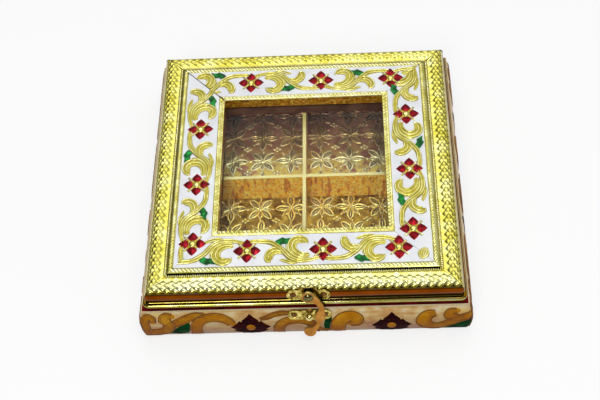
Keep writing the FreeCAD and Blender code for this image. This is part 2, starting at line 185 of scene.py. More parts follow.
def by_side(tree, share, front_stops, other_stops):
    """A colour that follows a share by one scale on the front and by another on the other sides."""
    front, others = [add(tree, "ValToRGB", {"Fac": share}, stops).outputs["Color"]
                     for stops in (front_stops, other_stops)]
    return add(tree, "Mix", {0: front_side(tree), 6: others, 7: front}, data_type="RGBA").outputs[2]


# Gilt lacquer over a pressed skin on wood: lemon gold, mirror bright on the crowns, broken by
# tiny dents.
GILT_TONES = ("#C0BA56", "#D4D07A", "#E6E6B2")
gilt = finish("gilt_lacquer_pressed_moulding", GILT_TONES, 9.0, 0.9, 0.012, (0.14, 0.26), Metallic=1.0)

# Towards the foot of the shoulder the gilt is painted browner and darker, by one scale on the front and
# another on the sides: painted shade, as the lower rows face away from the light.
tree = gilt.node_tree
foot_shade = by_side(tree, graded(tree, "Z", SHOULDER_FOOT_UP, SHOULDER_CROWN_UP),
                ((0.0, "#5A3E08"), (0.5, "#5E4A08"), (0.68, "#8E7824"), (0.79, "#E4D68C"),
                 (0.88, "#FFFFFF")),
                ((0.0, "#4A3006"), (0.3, "#86641A"), (0.6, "#DCC468"), (0.85, "#FFFAD0")))
overlay(gilt, foot_shade, how="MULTIPLY")

# Its crown is painted paler at the front: a painted highlight.
CROWN_HIGHLIGHT = (39.8, 40.8)
crown = graded(tree, "Z", *CROWN_HIGHLIGHT, last=0.4)
painted_crown_highlight = add(tree, "Math", {0: crown, 1: front_side(tree)}, operation="MULTIPLY")
overlay(gilt, srgb("#ECEAB8"), painted_crown_highlight.outputs[0])

# The same gilt on the plain moulding: its cove has caught a browner lacquer, as the brush leaves more of it
# there. Painted shade darkens the bead, round a narrow bright band, and the groove above it, by one scale
# on the front and another on the sides.
moulding = finish("gilt_lacquer_turned_moulding", GILT_TONES, 12.0, 1.2, 0.015, (0.1, 0.22), Metallic=1.0)
tree = moulding.node_tree
lacquer_and_shade = by_side(tree, graded(tree, "Z", RIM_UP, ABOVE_LID_UP),
                  ((0.0, "#5A3A10"), (0.08, "#7A5A20"), (0.14, "#A88838"), (0.16, "#FFFFFF"),
                   (0.19, "#FFFFFF"), (0.205, "#6A5016"), (0.235, "#2E1E06"), (0.27, "#40290A"),
                   (0.31, "#5E3404"), (0.34, "#7E3C00"), (0.67, "#9C4E02"), (0.73, "#FFFFFF")),
                  ((0.0, "#8A5E1C"), (0.1, "#B48C3A"), (0.18, "#C69E48"), (0.22, "#86601A"),
                   (0.38, "#6E4A10"), (0.42, "#7E5414"), (0.62, "#8E621A"), (0.68, "#FFFFFF")))
out = distance_out(tree)
# Painted shade in the rails' grooves: on the front a black line under the rope rail, and on every side
# darker grooves between the outer rows of the quilt.
grooves = add(tree, "MapRange", {"Value": out, "From Min": GROOVES_OUT[0] * MM,
                                 "From Max": GROOVES_OUT[1] * MM})
painted_groove_shade = by_side(tree, grooves.outputs["Result"],
                ((0.0, "#FFFFFF"), (0.115, "#FFFFFF"), (0.125, "#2E1C04"), (0.165, "#2E1C04"),
                 (0.19, "#B8A858"), (0.262, "#D0C480"), (0.275, "#FFFFFF"), (0.34, "#F8F4D0"),
                 (0.445, "#F0EAC0"), (0.555, "#D4C884"), (0.664, "#5E4A14"), (0.8, "#3E2C06"),
                 (0.84, "#FFFFFF")),
                ((0.0, "#FFFFFF"), (0.115, "#FFFFFF"), (0.125, "#EAD890"), (0.165, "#EAD890"),
                 (0.19, "#DCC878"), (0.262, "#DCC878"), (0.275, "#FFFFFF"), (0.34, "#F4ECB8"),
                 (0.555, "#D8C670"), (0.664, "#BEA244"), (0.8, "#8A6A1C"), (0.84, "#FFFFFF")))
outside = add(tree, "Math", {0: out, 1: RAIL_INNER_OUT * MM}, operation="GREATER_THAN").outputs[0]

# Round the window the lip has a mottled amber lacquer, which is less of a mirror.
LIP_DULLING = 0.7
lip = add(tree, "Math", {0: out, 1: WINDOW_LIP_OUT * MM}, operation="LESS_THAN").outputs[0]
mottle = add(tree, "TexNoise", {"Vector": place_in(tree), "Scale": per_mm(2.2), "Detail": 3.0})
amber = add(tree, "ValToRGB", {"Fac": mottle.outputs["Fac"]},
            ((0.35, "#A86410"), (0.5, "#D89428"), (0.62, "#FFDC80")))
for share, layer in ((outside, lacquer_and_shade), (outside, painted_groove_shade), (lip, amber.outputs["Color"])):
    overlay(moulding, layer, share, "MULTIPLY")
mirror = add(tree, "Math", {0: lip, 1: -LIP_DULLING, 2: 1.0}, operation="MULTIPLY_ADD")
tree.links.new(mirror.outputs[0], tree.nodes["Principled BSDF"].inputs["Metallic"])

# Gold leaf paint on the crests of the raised scrolls: pale yellow gold, bright from any side.
scroll_gold = finish("gold_paint_raised_scroll", ("#C6BC5A", "#D8D07C", "#EAE6A8"), 5.0, 0.7, 0.01,
                     (0.16, 0.3), Metallic=1.0)

# The same paint between the crests, olive gold and duller: painted shade in the grooves between them.
shaded_gold = finish("gold_paint_shaded", ("#94882A", "#AA9E3C", "#BEB254"), 4.0, 0.7, 0.01,
                     (0.26, 0.4), Metallic=1.0)

# A paler, softer gilt than the moulding beside it, for the ropes and bead rows: a painted highlight.
highlight_gold = finish("gilt_lacquer_burnished_rope", ("#E8E28C", "#F2EEA8", "#FAF8CE"), 6.0, 0.7, 0.008,
                   (0.2, 0.34), Metallic=0.9)

# Vitreous white enamel on thin sheet: cool white, glassy, with the orange-peel of the firing.
white_enamel = finish("fired_enamel_white", ("#E0E2E8", "#EBEDF1", "#F3F5F7"), 14.0, 1.1, 0.012,
                      (0.18, 0.3), Coat_Weight=0.4, Coat_Roughness=0.08)

# Clear red enamel over foil: deep crimson in the thick parts, scarlet where it is thin.
red_enamel = finish("fired_enamel_ruby", ("#5E020C", "#900818", "#C41428"), 2.6, 0.8, 0.008,
                    (0.14, 0.26), Metallic=0.75)

# Clear green enamel over foil: emerald with brighter thin spots.
green_enamel = finish("fired_enamel_emerald", ("#022C0C", "#085E1E", "#1A8C38"), 2.6, 0.8, 0.008,
                      (0.16, 0.28), Metallic=0.7)

# Pearl-varnished card: warm off-white with a faint satin bloom.
pearl_card = finish("pearl_varnished_card", ("#D6A860", "#EACF98", "#F0E8D0"), 7.0, 0.9, 0.01,
                    (0.3, 0.45), Coat_Weight=0.1, Coat_Roughness=0.2)

# Bronze-gold ink on embossed card: brown orange, satin, and darker towards the foot with painted shade.
bronze_ink = finish("bronze_gold_ink_embossed_card", ("#BC7608", "#CC8C12", "#DCA228"), 7.0, 0.8, 0.012,
                    (0.36, 0.5), Specular_IOR_Level=0.04)

# Brown key-line ink under varnish: thin, half matt lines round and inside the bronze scrolls.
line_ink = finish("brown_key_line_ink_varnished_card", ("#70400E", "#845014", "#94601E"), 5.0, 0.7, 0.01,
                  (0.4, 0.55), Specular_IOR_Level=0.2)

# Maroon ink laid on thick: nearly black, with a red warmth and hardly any shine.
maroon_ink = finish("maroon_ink_varnished_card", ("#1E0306", "#2C0508", "#3A080C"), 5.0, 0.7, 0.01,
                    (0.5, 0.65), Specular_IOR_Level=0.02)

# Bottle green ink laid on thick: dark and cool, with hardly any shine.
green_ink = finish("bottle_green_ink_varnished_card", ("#02240C", "#043A16", "#084A20"), 5.0, 0.7, 0.01,
                   (0.5, 0.65), Specular_IOR_Level=0.02)

# The pearl varnish was drawn on lengthwise, and plays from ochre to lemon in long streaks.
tree = pearl_card.node_tree
lengthwise = add(tree, "Mapping", {"Vector": place_in(tree), "Scale": (0.22, 0.22, 1.0)})
varnish = add(tree, "TexNoise", {"Vector": lengthwise.outputs["Vector"], "Scale": per_mm(4.5),
                                 "Detail": 3.0})
play = add(tree, "ValToRGB", {"Fac": varnish.outputs["Fac"]},
           ((0.34, "#ECCC98"), (0.44, "#F4E4C4"), (0.54, "#FFFFFF"), (0.64, "#FFF6C8")))
overlay(pearl_card, play.outputs["Color"], how="MULTIPLY")

# The base is painted darker and browner towards its foot: painted shade, as the bulging face turns down
# away from the light.
for mat, low, middle, high in ((pearl_card, "#A88050", "#CEB080", "#F4E8CC"),
                               (bronze_ink, "#C8B08A", "#E0CCA8", "#F6EEDC")):
    tree = mat.node_tree
    painted_base_shade = add(tree, "ValToRGB", {"Fac": graded(tree, "Z", 0.0, RIM_UP)},
               ((0.0, low), (0.35, middle), (0.7, high), (1.0, "#FFFFFF")))
    overlay(mat, painted_base_shade.outputs["Color"], how="MULTIPLY")

# Gold foil card: a metal film pressed on board, amber and satin where it lies flat.
gold_foil = finish("gold_foil_pressed_card", ("#7E5610", "#96701A", "#AE8A2C"), 8.0, 1.6, 0.08,
                   (0.26, 0.4), Metallic=0.7)

# The same foil on the front floors, darker and browner: a painted reflection of the divider's amber face.
amber_reflection_foil = finish("gold_foil_pressed_card_painted_reflection", ("#5A3806", "#8C6814", "#C09C2C"), 6.0, 1.6, 0.08,
                   (0.26, 0.4), Metallic=0.7)

# The same foil in the rear compartments, painted purple brown: a painted reflection of the maroon lid
# lining.
lining_reflection_foil = finish("gold_foil_pressed_card_lining_reflection", ("#8E5646", "#A66A54", "#C08466"), 8.0, 1.6, 0.08,
                   (0.26, 0.4), Metallic=0.45)

# Next to the long divider it is painted gold in patches: a painted reflection of the divider.
DIVIDER_REFLECTION_REACH = (24.0, 46.0)
tree = lining_reflection_foil.node_tree
nearby = graded(tree, "Y", *DIVIDER_REFLECTION_REACH, 0.85, 0.0)
patches = add(tree, "TexNoise", {"Vector": place_in(tree), "Scale": per_mm(6.0)})
left = add(tree, "MapRange", {"Value": patches.outputs["Fac"], "From Min": 0.38, "From Max": 0.52})
divider_reflection = add(tree, "Math", {0: nearby, 1: left.outputs["Result"]}, operation="MULTIPLY")
overlay(lining_reflection_foil, srgb("#E0C656"), divider_reflection.outputs[0])

# Inside the pressed petals the foil is painted brown and dull as painted shade, and paler towards the rear
# wall, where it meets the painted reflection of the lining.
PETALS_FADE = (28.0, 50.0)
petal_shade_foil = finish("gold_foil_pressed_card_petal_shade", ("#4A2E18", "#5E3E20", "#76542C"), 6.0, 1.6, 0.04,
                    (0.3, 0.45), Metallic=0.5)
overlay(petal_shade_foil, srgb("#8A5848"), graded(petal_shade_foil.node_tree, "Y", *PETALS_FADE))

# The same foil over the pressed lines, polished, and painted pale as painted glints.
painted_sparkle_gold = finish("gold_foil_painted_sparkle_on_lines", ("#FFE472", "#FFEE8C", "#FFF6B6"), 6.0, 0.8, 0.01,
                     (0.14, 0.24), Metallic=0.8)

# Behind the long divider the lines are painted near white next to it and brown towards the rear wall:
# painted glints fading into painted shade.
REAR_WALL_OUT = 80.0
tree = painted_sparkle_gold.node_tree
sparkle_and_shade = add(tree, "ValToRGB", {"Fac": graded(tree, "Y", 0.0, REAR_WALL_OUT)},
              ((0.0, "#FFFADC"), (0.35, "#FFF4B8"), (0.6, "#D8B878"), (0.95, "#986A56")))
axes = add(tree, "SeparateXYZ", {"Vector": place_in(tree)})
behind = add(tree, "Math", {0: axes.outputs["Y"], 1: 0.0}, operation="GREATER_THAN")
overlay(painted_sparkle_gold, sparkle_and_shade.outputs["Color"], behind.outputs[0])

# Gold foil paper wrapped on the dividers: amber, and streaked where the glue has crinkled it, with painted
# glints in small cells, and painted pale along the top edges as a painted highlight.
foil_paper = finish("gold_foil_paper_rolled", ("#FFA018", "#FFC230", "#FFE46A"), 2.2, 0.8, 0.2,
                    (0.22, 0.38), Metallic=0.0, Coat_Weight=0.7, Coat_Roughness=0.2, Coat_IOR=1.8)
tree = foil_paper.node_tree
upright = add(tree, "Mapping", {"Vector": place_in(tree), "Scale": (1.0, 1.0, 0.2)})
crinkle = add(tree, "TexNoise", {"Vector": upright.outputs["Vector"], "Scale": per_mm(3.0), "Detail": 2.0})
streak = add(tree, "ValToRGB", {"Fac": crinkle.outputs["Fac"]}, ((0.36, "#D8943C"), (0.44, "#FFFFFF")))
facet = add(tree, "TexVoronoi", {"Vector": place_in(tree), "Scale": per_mm(1.0)})
# Painted glints: some small cells darker amber, the rest left bright.
painted_glint = add(tree, "ValToRGB", {"Fac": facet.outputs["Color"]}, ((0.14, "#CC8428"), (0.3, "#FFFFFF")))
for layer in (streak, painted_glint):
    overlay(foil_paper, layer.outputs["Color"], how="MULTIPLY")
# A painted highlight along the top edges.
LIT_TOP_DOWN_TO = DIVIDER_TOP_UP - 0.4
overlay(foil_paper, srgb("#DCCA74"), graded(tree, "Z", LIT_TOP_DOWN_TO, DIVIDER_TOP_UP))

# Maroon flock paper: short soft fibres that swallow the light.
maroon_paper = finish("maroon_flock_paper", ("#46020A", "#600610", "#7A0A16"), 6.0, 0.35, 0.03,
                      (0.75, 0.95), Specular_IOR_Level=0.1)

# The printed card is turned over the rim's outer edge, so only the inner part of the rim shows maroon.
tree = maroon_paper.node_tree
turned_card = add(tree, "Math", {0: distance_out(tree), 1: CARD_TURN_OUT * MM}, operation="GREATER_THAN")
overlay(maroon_paper, srgb("#DCCCA0"), turned_card.outputs[0])

# Maroon paint brushed on wood: greyed, uneven and dull.
maroon_paint = finish("maroon_paint_brushed_wood", ("#4A302C", "#583C36", "#664840"), 10.0, 0.8, 0.015,
                      (0.5, 0.7), Specular_IOR_Level=0.2)

# Raw fibreboard: brown felted fibres, quite matt.
fibreboard = finish("fibreboard_raw", ("#8A6238", "#A0784A", "#B08A5C"), 3.0, 0.4, 0.03, (0.8, 0.95))

# Sawn softwood inside an open joint: a dull brown that dirt has darkened.
bare_wood = finish("softwood_sawn_dark", ("#2A1206", "#40200E", "#58301A"), 3.0, 0.5, 0.02, (0.7, 0.9))

# Stamped brass plates, buffed to a mirror: lemon gold, with bright and dark patches painted in as a painted
# reflection of the room.
brass = finish("brass_stamped_polished", ("#6E5C20", "#B29C48", "#F0E08C"), 2.4, 0.5, 0.006,
               (0.05, 0.14), Metallic=1.0)

# The hook is cut from thicker, redder brass with a satin face.
hook_brass = finish("brass_cut_satin", ("#A06824", "#B47A30", "#C88E40"), 5.0, 0.5, 0.008,
                    (0.2, 0.32), Metallic=0.9)

# Its cut edges are painted pale as a painted highlight, and its eye round the rivet is painted dark as a
# painted reflection.
pivot = next(joint for joint in frame["record"]["behaviour"]["joints"] if joint["name"] == "hook_pivot")
HOOK_EYE_REACH = 3.4 * MM
DARK_EYE_EDGE = 0.5 * MM
tree = hook_brass.node_tree
facing = add(tree, "VectorMath", {0: tree.nodes["place"].outputs["Normal"], 1: pivot["axis"]},
             operation="DOT_PRODUCT")
# Painted highlight on the cut edges.
edge = add(tree, "MapRange", {"Value": facing.outputs["Value"], "From Min": 0.45, "From Max": 0.75,
                              "To Min": 1.0, "To Max": 0.0})
overlay(hook_brass, srgb("#D8C67E"), edge.outputs["Result"])
from_eye = add(tree, "VectorMath", {0: place_in(tree), 1: pivot["pos_m"]}, operation="SUBTRACT")
lift = add(tree, "VectorMath", {0: from_eye.outputs["Vector"], 1: pivot["axis"]}, operation="PROJECT")
away = add(tree, "VectorMath", {0: from_eye.outputs["Vector"], 1: lift.outputs["Vector"]},
           operation="DISTANCE")
# Painted dark reflection over the eye round the rivet.
dark_eye = add(tree, "MapRange", {"Value": away.outputs["Value"], "From Min": HOOK_EYE_REACH - DARK_EYE_EDGE,
                              "From Max": HOOK_EYE_REACH, "To Min": 1.0, "To Max": 0.0})
overlay(hook_brass, srgb("#5E5428"), dark_eye.outputs["Result"])

# Brass screws gone brown in their dished holes, with a dull glint left on their heads.
dark_screw = finish("brass_screw_tarnished", ("#4A2C12", "#6A4420", "#8A6430"), 2.0, 0.4, 0.008,
                    (0.25, 0.45), Metallic=1.0)

# The rivet's head is painted dark as a painted reflection, and the stud's ball is turned and painted bright
# as a painted highlight.
dark_reflection_brass = finish("brass_headed_painted_dark", ("#545030", "#686238", "#7E7648"), 2.0, 0.4, 0.004,
                     (0.05, 0.1), Metallic=1.0)
highlight_brass = finish("brass_turned_painted_highlight", ("#C8B868", "#DCCE88", "#F0E6B0"), 2.0, 0.4, 0.004,
                    (0.03, 0.08), Metallic=1.0)

# Clear sheet glass, polished: it lets shadow rays pass so that the compartments are lit.
glass = finish("window_glass_polished", ("#F2F7F5", "#F8FBFA"), 40.0, 60.0, 0.002, (0.0, 0.02),
               Transmission_Weight=1.0, IOR=1.16)
tree = glass.node_tree
clear = add(tree, "BsdfTransparent", {"Color": srgb("#F4F8F6")})
both = add(tree, "MixShader", {0: add(tree, "LightPath").outputs["Is Shadow Ray"],
                               1: tree.nodes["Principled BSDF"].outputs["BSDF"],
                               2: clear.outputs["BSDF"]})
tree.links.new(both.outputs["Shader"], tree.nodes["Material Output"].inputs["Surface"])

# The carried-over pieces, by how their names start. What isn't listed is polished brass.
NODE_FINISHES = (
    ("base_wall", fibreboard), ("base_floor", fibreboard), ("base_foil", pearl_card),
    ("rim_trim", maroon_paper), ("lid_lining", maroon_paper), ("wall_liner", gold_foil),
    ("floor_liner_front", amber_reflection_foil), ("floor_liner_rear", lining_reflection_foil), ("divider", foil_paper),
    ("lid_rail", moulding), ("window_bead", moulding), ("enamel_panel", white_enamel),
    ("glass_pane", glass), ("glazing_strip", maroon_paint), ("clasp_hook", hook_brass),
    ("clasp_plate_screws", dark_screw), ("keeper_plate_screws", dark_screw),
    ("hinge_base_screws", dark_screw), ("hinge_lid_screws", dark_screw),
    ("clasp_rivet", dark_reflection_brass), ("keeper_stud", highlight_brass),
)
for node_name, node in frame["nodes"].items():
    named = [mat for start, mat in NODE_FINISHES if node_name.startswith(start)]
    node.data.materials.clear()
    node.data.materials.append(named[0] if named else brass)


# Making pieces.

def finished(name, bm, body, mats, crease, side=None, stands_for=()):
    """Closes a drawn shape off as a piece: on its side of the box, in metres, riding on its body."""
    if side:
        name = f"{name}_{side}"
        bmesh.ops.rotate(bm, verts=bm.verts, cent=(0, 0, 0),
                         matrix=Matrix.Rotation(math.radians(SIDES[side]), 3, "Z"))
    bmesh.ops.scale(bm, vec=(MM, MM, MM), verts=bm.verts)
    mesh = bpy.data.meshes.new(name)
    bm.to_mesh(mesh)
    bm.free()
    for mat in mats:
        mesh.materials.append(mat)
    mesh.shade_smooth()
    mesh.set_sharp_from_angle(angle=math.radians(crease))
    piece = bpy.data.objects.new(name, mesh)
    bpy.context.scene.collection.objects.link(piece)
    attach(piece, body)
    if stands_for:
        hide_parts(*stands_for)


def template(shape, *args):
    """A small shape kept as a mesh so that it can be set down many times."""
    bm = bmesh.new()
    shape(bm, *args)
    return kept(bm)


def kept(bm):
    """A drawn shape kept as a mesh so that it can be set down many times."""
    mesh = bpy.data.meshes.new("template")
    bm.to_mesh(mesh)
    bm.free()
    return mesh


def set_down(bm, mesh, where, material=0):
    """Adds a copy of a template at a placement."""
    copy = mesh.copy()
    copy.transform(where)
    first = len(bm.faces)
    bm.from_mesh(copy)
    bpy.data.meshes.remove(copy)
    bm.faces.ensure_lookup_table()
    for face in bm.faces[first:]:
        face.material_index = material


def placed(x, y, z, turn=0.0, size=1.0):
    """A placement: moved, turned about the upright axis in degrees, and scaled."""
    return (Matrix.Translation((x, y, z)) @ Matrix.Rotation(math.radians(turn), 4, "Z")
            @ Matrix.Diagonal((size, size, size, 1.0)))


def cut(bm, at, normal):
    """Cuts away what lies beyond a plane and closes the cut."""
    everything = bm.verts[:] + bm.edges[:] + bm.faces[:]
    bmesh.ops.bisect_plane(bm, geom=everything, plane_co=at, plane_no=normal, clear_outer=True)
    bmesh.ops.holes_fill(bm, edges=[e for e in bm.edges if e.is_boundary], sides=0)


MITRE_GAP = 0.1


def mitred(bm):
    """Trims a shape on the front side at the two mitre lines."""
    for way in (1, -1):
        cut(bm, (0, -MITRE_GAP, 0), (way, 1, 0))


def oval(bm, around, rings, along, across, high):
    """An oval bead."""
    bmesh.ops.create_uvsphere(bm, u_segments=around, v_segments=rings, radius=1.0)
    bmesh.ops.scale(bm, vec=(along, across, high), verts=bm.verts)


# How deep a stone's wall goes into its ground.
STONE_ROOT = 0.1


def facets(bm, outline, wall, rise):
    """A cut stone: a low wall round an outline, rising to one point."""
    face = bm.faces.new([bm.verts.new((x, y, -STONE_ROOT)) for x, y in outline])
    bmesh.ops.recalc_face_normals(bm, faces=[face])
    if face.normal.z < 0:
        bmesh.ops.reverse_faces(bm, faces=[face])
    raised = bmesh.ops.extrude_face_region(bm, geom=[face], use_keep_orig=True)["geom"]
    bmesh.ops.translate(bm, vec=(0, 0, wall + STONE_ROOT),
                        verts=[v for v in raised if isinstance(v, bmesh.types.BMVert)])
    bmesh.ops.reverse_faces(bm, faces=[face])
    top = [f for f in raised if isinstance(f, bmesh.types.BMFace)]
    bmesh.ops.poke(bm, faces=top, offset=rise, center_mode="MEAN")


def rib_profile(name, rise, foot, steps=6):
    """The cross-section of a raised line, one unit wide: a round back over a flat foot."""
    curve = bpy.data.curves.new(name, "CURVE")
    curve.dimensions = "2D"
    spline = curve.splines.new("POLY")
    spline.points.add(steps + 2)
    spline.use_cyclic_u = True
    for i in range(steps + 1):
        angle = math.pi * i / steps
        spline.points[i].co = (-math.cos(angle) / 2, rise * math.sin(angle), 0, 1)
    spline.points[steps + 1].co = (0.5, -foot, 0, 1)
    spline.points[steps + 2].co = (-0.5, -foot, 0, 1)
    profile = bpy.data.objects.new(name, curve)
    bpy.context.scene.collection.objects.link(profile)
    return profile


def banded(bands, profile, resolution=5):
    """Sweeps a ribbed cross-section along smooth lines of (x, y, width) and gives them as one mesh."""
    curve = bpy.data.curves.new("bands", "CURVE")
    curve.dimensions = "3D"
    curve.twist_mode = "Z_UP"
    curve.bevel_mode = "OBJECT"
    curve.bevel_object = profile
    curve.use_fill_caps = True
    curve.resolution_u = resolution
    for points in bands:
        spline = curve.splines.new("BEZIER")
        spline.bezier_points.add(len(points) - 1)
        for knot, (x, y, width) in zip(spline.bezier_points, points):
            knot.co = (x, y, 0.0)
            knot.radius = width
            knot.handle_left_type = knot.handle_right_type = "AUTO"
    sweep = bpy.data.objects.new("bands", curve)
    bpy.context.scene.collection.objects.link(sweep)
    bpy.context.view_layer.update()
    mesh = bpy.data.meshes.new_from_object(sweep.evaluated_get(bpy.context.evaluated_depsgraph_get()))
    bpy.data.objects.remove(sweep)
    bpy.data.curves.remove(curve)
    bm = bmesh.new()
    bm.from_mesh(mesh)
    bpy.data.meshes.remove(mesh)
    bmesh.ops.remove_doubles(bm, verts=bm.verts, dist=0.002)
    bmesh.ops.recalc_face_normals(bm, faces=bm.faces)
    return bm


# The closing taper of a band's end: how far on, in widths, and what share of the width is left there.
TIP = ((0.28, 0.78), (0.46, 0.2))


def tipped(points):
    """Rounds off the far end of a band with a short closing taper."""
    (x0, y0, _), (x1, y1, width) = points[-2:]
    run = math.hypot(x1 - x0, y1 - y0)
    dx, dy = (x1 - x0) / run * width, (y1 - y0) / run * width
    return [*points, *((x1 + on * dx, y1 + on * dy, share * width) for on, share in TIP)]


# The lid's moulding.

def along_side(reach, pitch, shift=0.0):
    """Places along a side, evenly spaced and centred, out to a reach on both sides."""
    count = int(reach / pitch)
    return [(i + shift) * pitch for i in range(-count - 1, count + 2) if abs((i + shift) * pitch) <= reach]


QUILT_PITCH = 5.1
QUILT_REACH = 97.0
# Rows of the quilt: distance down the shoulder from the edge of its flat strip, relief and size.
QUILT_ROWS = ((-0.9, 0.55, 1.0), (1.1, 0.7, 1.0), (3.1, 0.85, 1.0), (5.1, 0.95, 0.97), (7.1, 1.0, 0.93))
# Shares of that relief that are left on the front and rear rails, where hands have rubbed them down.
QUILT_WEAR = {"front": (0.64, 0.72, 0.84, 0.95, 1.0), "rear": (1.0, 1.0, 1.0, 1.0, 0.35)}
UNWORN = (1.0,) * len(QUILT_ROWS)
QUILT_OUTLINE = ((2.52, 0), (1.36, 1.06), (0, 2.0), (-1.36, 1.06), (-2.52, 0), (-1.36, -1.06),
                 (0, -2.0), (1.36, -1.06))
FLAT_EDGE_OUT = 87.0
SHOULDER_START = math.radians(117.0)
# The bar under the window's rope: length, width and height.
WINDOW_BAR = (114.0, 3.76, 0.8)
WINDOW_BAR_EDGE = 0.5
# Distances between beads, how far short of the mitre they stop, how far the bar row's beads stand up,
# and the slant of a rope's strands.
ROPE_PITCH, BAR_PITCH, WINDOW_ROPE_PITCH = 2.4, 1.35, 2.6
BAR_BEAD_LIFT = 0.2
BEAD_STOP = 0.9
ROPE_SLANT = -35.0


def onto_shoulder(bm):
    """Bends a flat drawing (along, up the slope, relief) over the strip and shoulder of the front rail."""
    for vert in bm.verts:
        s, down, lift = vert.co.x, -vert.co.y, vert.co.z
        if down < 0:
            vert.co = (s, -(FLAT_EDGE_OUT + down), BAR_ROW_UP + lift)
        else:
            angle = SHOULDER_START - down / SHOULDER_RADIUS
            radius = SHOULDER_RADIUS + lift
            out = SHOULDER_OUT + radius * math.cos(angle)
            vert.co = (s, -out, SHOULDER_UP + radius * math.sin(angle))


# A cushion's crown: its share of the outline, and the shares of the swell below and above its edge.
CROWN_SHARE, CROWN_EDGE, CROWN_RISE = 0.55, 0.8, 0.2


def pillow(bm, outline, wall, swell):
    """A rounded cushion over an outline: a low wall, a steep shoulder and a nearly flat crown."""
    facets(bm, outline, wall, 0.0)
    bmesh.ops.dissolve_verts(bm, verts=[max(bm.verts, key=lambda v: len(v.link_edges))])
    crown = max(bm.faces, key=lambda f: f.calc_center_median().z)
    bmesh.ops.inset_region(bm, faces=[crown], thickness=0.0, use_even_offset=False)
    bmesh.ops.scale(bm, vec=(CROWN_SHARE, CROWN_SHARE, 1.0), verts=crown.verts)
    bmesh.ops.translate(bm, vec=(0, 0, CROWN_EDGE * swell), verts=crown.verts)
    bmesh.ops.poke(bm, faces=[crown], offset=CROWN_RISE * swell, center_mode="MEAN")


def strung(bm, bead, out, up, pitch, slant=0.0):
    """Strings beads in a row along the front side, and mitres the row."""
    for s in along_side(out - BEAD_STOP, pitch):
        set_down(bm, bead, placed(s, -out, up, slant))
    mitred(bm)


quilt_pillow = template(pillow, QUILT_OUTLINE, 0.05, 0.5)
rope_bead = template(oval, 8, 6, 2.2, 1.0, 0.5)
bar_bead = template(oval, 8, 6, 0.58, 1.12, 0.8)
window_rope_bead = template(oval, 8, 6, 1.75, 0.82, 0.74)

for side in SIDES:
    bm = bmesh.new()
    for row, ((down, relief, size), left) in enumerate(zip(QUILT_ROWS, QUILT_WEAR.get(side, UNWORN))):
        for s in along_side(QUILT_REACH, QUILT_PITCH, 0.5 * (row % 2)):
            shrunk = Matrix.Diagonal((size, size, relief * left, 1.0))
            set_down(bm, quilt_pillow, placed(s, -down, 0.0) @ shrunk)
    onto_shoulder(bm)
    mitred(bm)
    finished("quilted_shoulder", bm, "lid", [gilt], 45.0, side)

    bm = bmesh.new()
    strung(bm, rope_bead, ROPE_OUT, ROPE_UP, ROPE_PITCH, ROPE_SLANT)
    # The front and rear ropes take the paler gold as a painted highlight, the sides the scroll gold.
    painted_highlight_by_side = highlight_gold if side in ("front", "rear") else scroll_gold
    finished("rope_rail", bm, "lid", [painted_highlight_by_side], 60.0, side)

    bm = bmesh.new()
    strung(bm, bar_bead, BAR_ROW_OUT, BAR_ROW_UP + BAR_BEAD_LIFT, BAR_PITCH)
    finished("bar_row", bm, "lid", [highlight_gold], 60.0, side)

    bm = bmesh.new()
    bmesh.ops.create_cube(bm, size=1.0)
    bmesh.ops.scale(bm, vec=WINDOW_BAR, verts=bm.verts)
    bmesh.ops.translate(bm, vec=(0, -WINDOW_BAR_OUT, PANEL_TOP), verts=bm.verts)
    long_edges = [e for e in bm.edges
                  if e.calc_length() > WINDOW_BAR[0] / 2 and e.verts[0].co.z > PANEL_TOP]
    bmesh.ops.bevel(bm, geom=long_edges, offset=WINDOW_BAR_EDGE, affect="EDGES", segments=3, profile=0.5,
                    material=-1)
    strung(bm, window_rope_bead, WINDOW_ROPE_OUT, WINDOW_ROPE_UP, WINDOW_ROPE_PITCH, ROPE_SLANT)
    # Only the rear window rope takes the paler gold, as a painted highlight.
    painted_highlight_by_side = highlight_gold if side == "rear" else scroll_gold
    finished("window_rope", bm, "lid", [painted_highlight_by_side], 60.0, side,
             stands_for=[f"window_bead_{side}"])


# The enamelled panels.

# The vine's repeat after a flower, for a leaf at the outer edge: the pooled grounds of its stem, hook,
# scroll and top leaf, then the crests that stand on them, all as (along, outwards, width).
VINE_GROUNDS = {
    "stem": (((0.8, 6.4, 2.0), (4.0, 6.9, 2.8), (8.0, 6.7, 3.4), (13.0, 6.0, 3.6), (17.0, 4.0, 3.8),
              (20.6, 1.2, 3.8), (23.4, -2.0, 4.2), (26.6, -5.4, 4.4), (31.0, -7.4, 4.0), (37.0, -7.4, 3.4),
              (42.2, -6.4, 2.4), (45.2, -5.6, 1.6)),),
    "hook": (((22.5, -1.0, 4.6), (18.5, -0.4, 5.2), (15.2, -1.4, 5.2), (13.4, -4.4, 4.8),
              (13.2, -7.2, 3.6)),),
    "scroll": (((38.0, -4.0, 2.4), (33.0, -4.2, 4.4), (29.0, -2.6, 5.6), (27.4, 1.6, 5.8), (28.6, 5.8, 5.8),
                (32.0, 7.6, 5.0), (35.4, 6.4, 3.8)),),
    "leaf": (((20.2, -7.0, 0.8), (24.0, -7.8, 2.2), (28.0, -8.6, 2.6), (31.0, -8.8, 1.6)),),
}
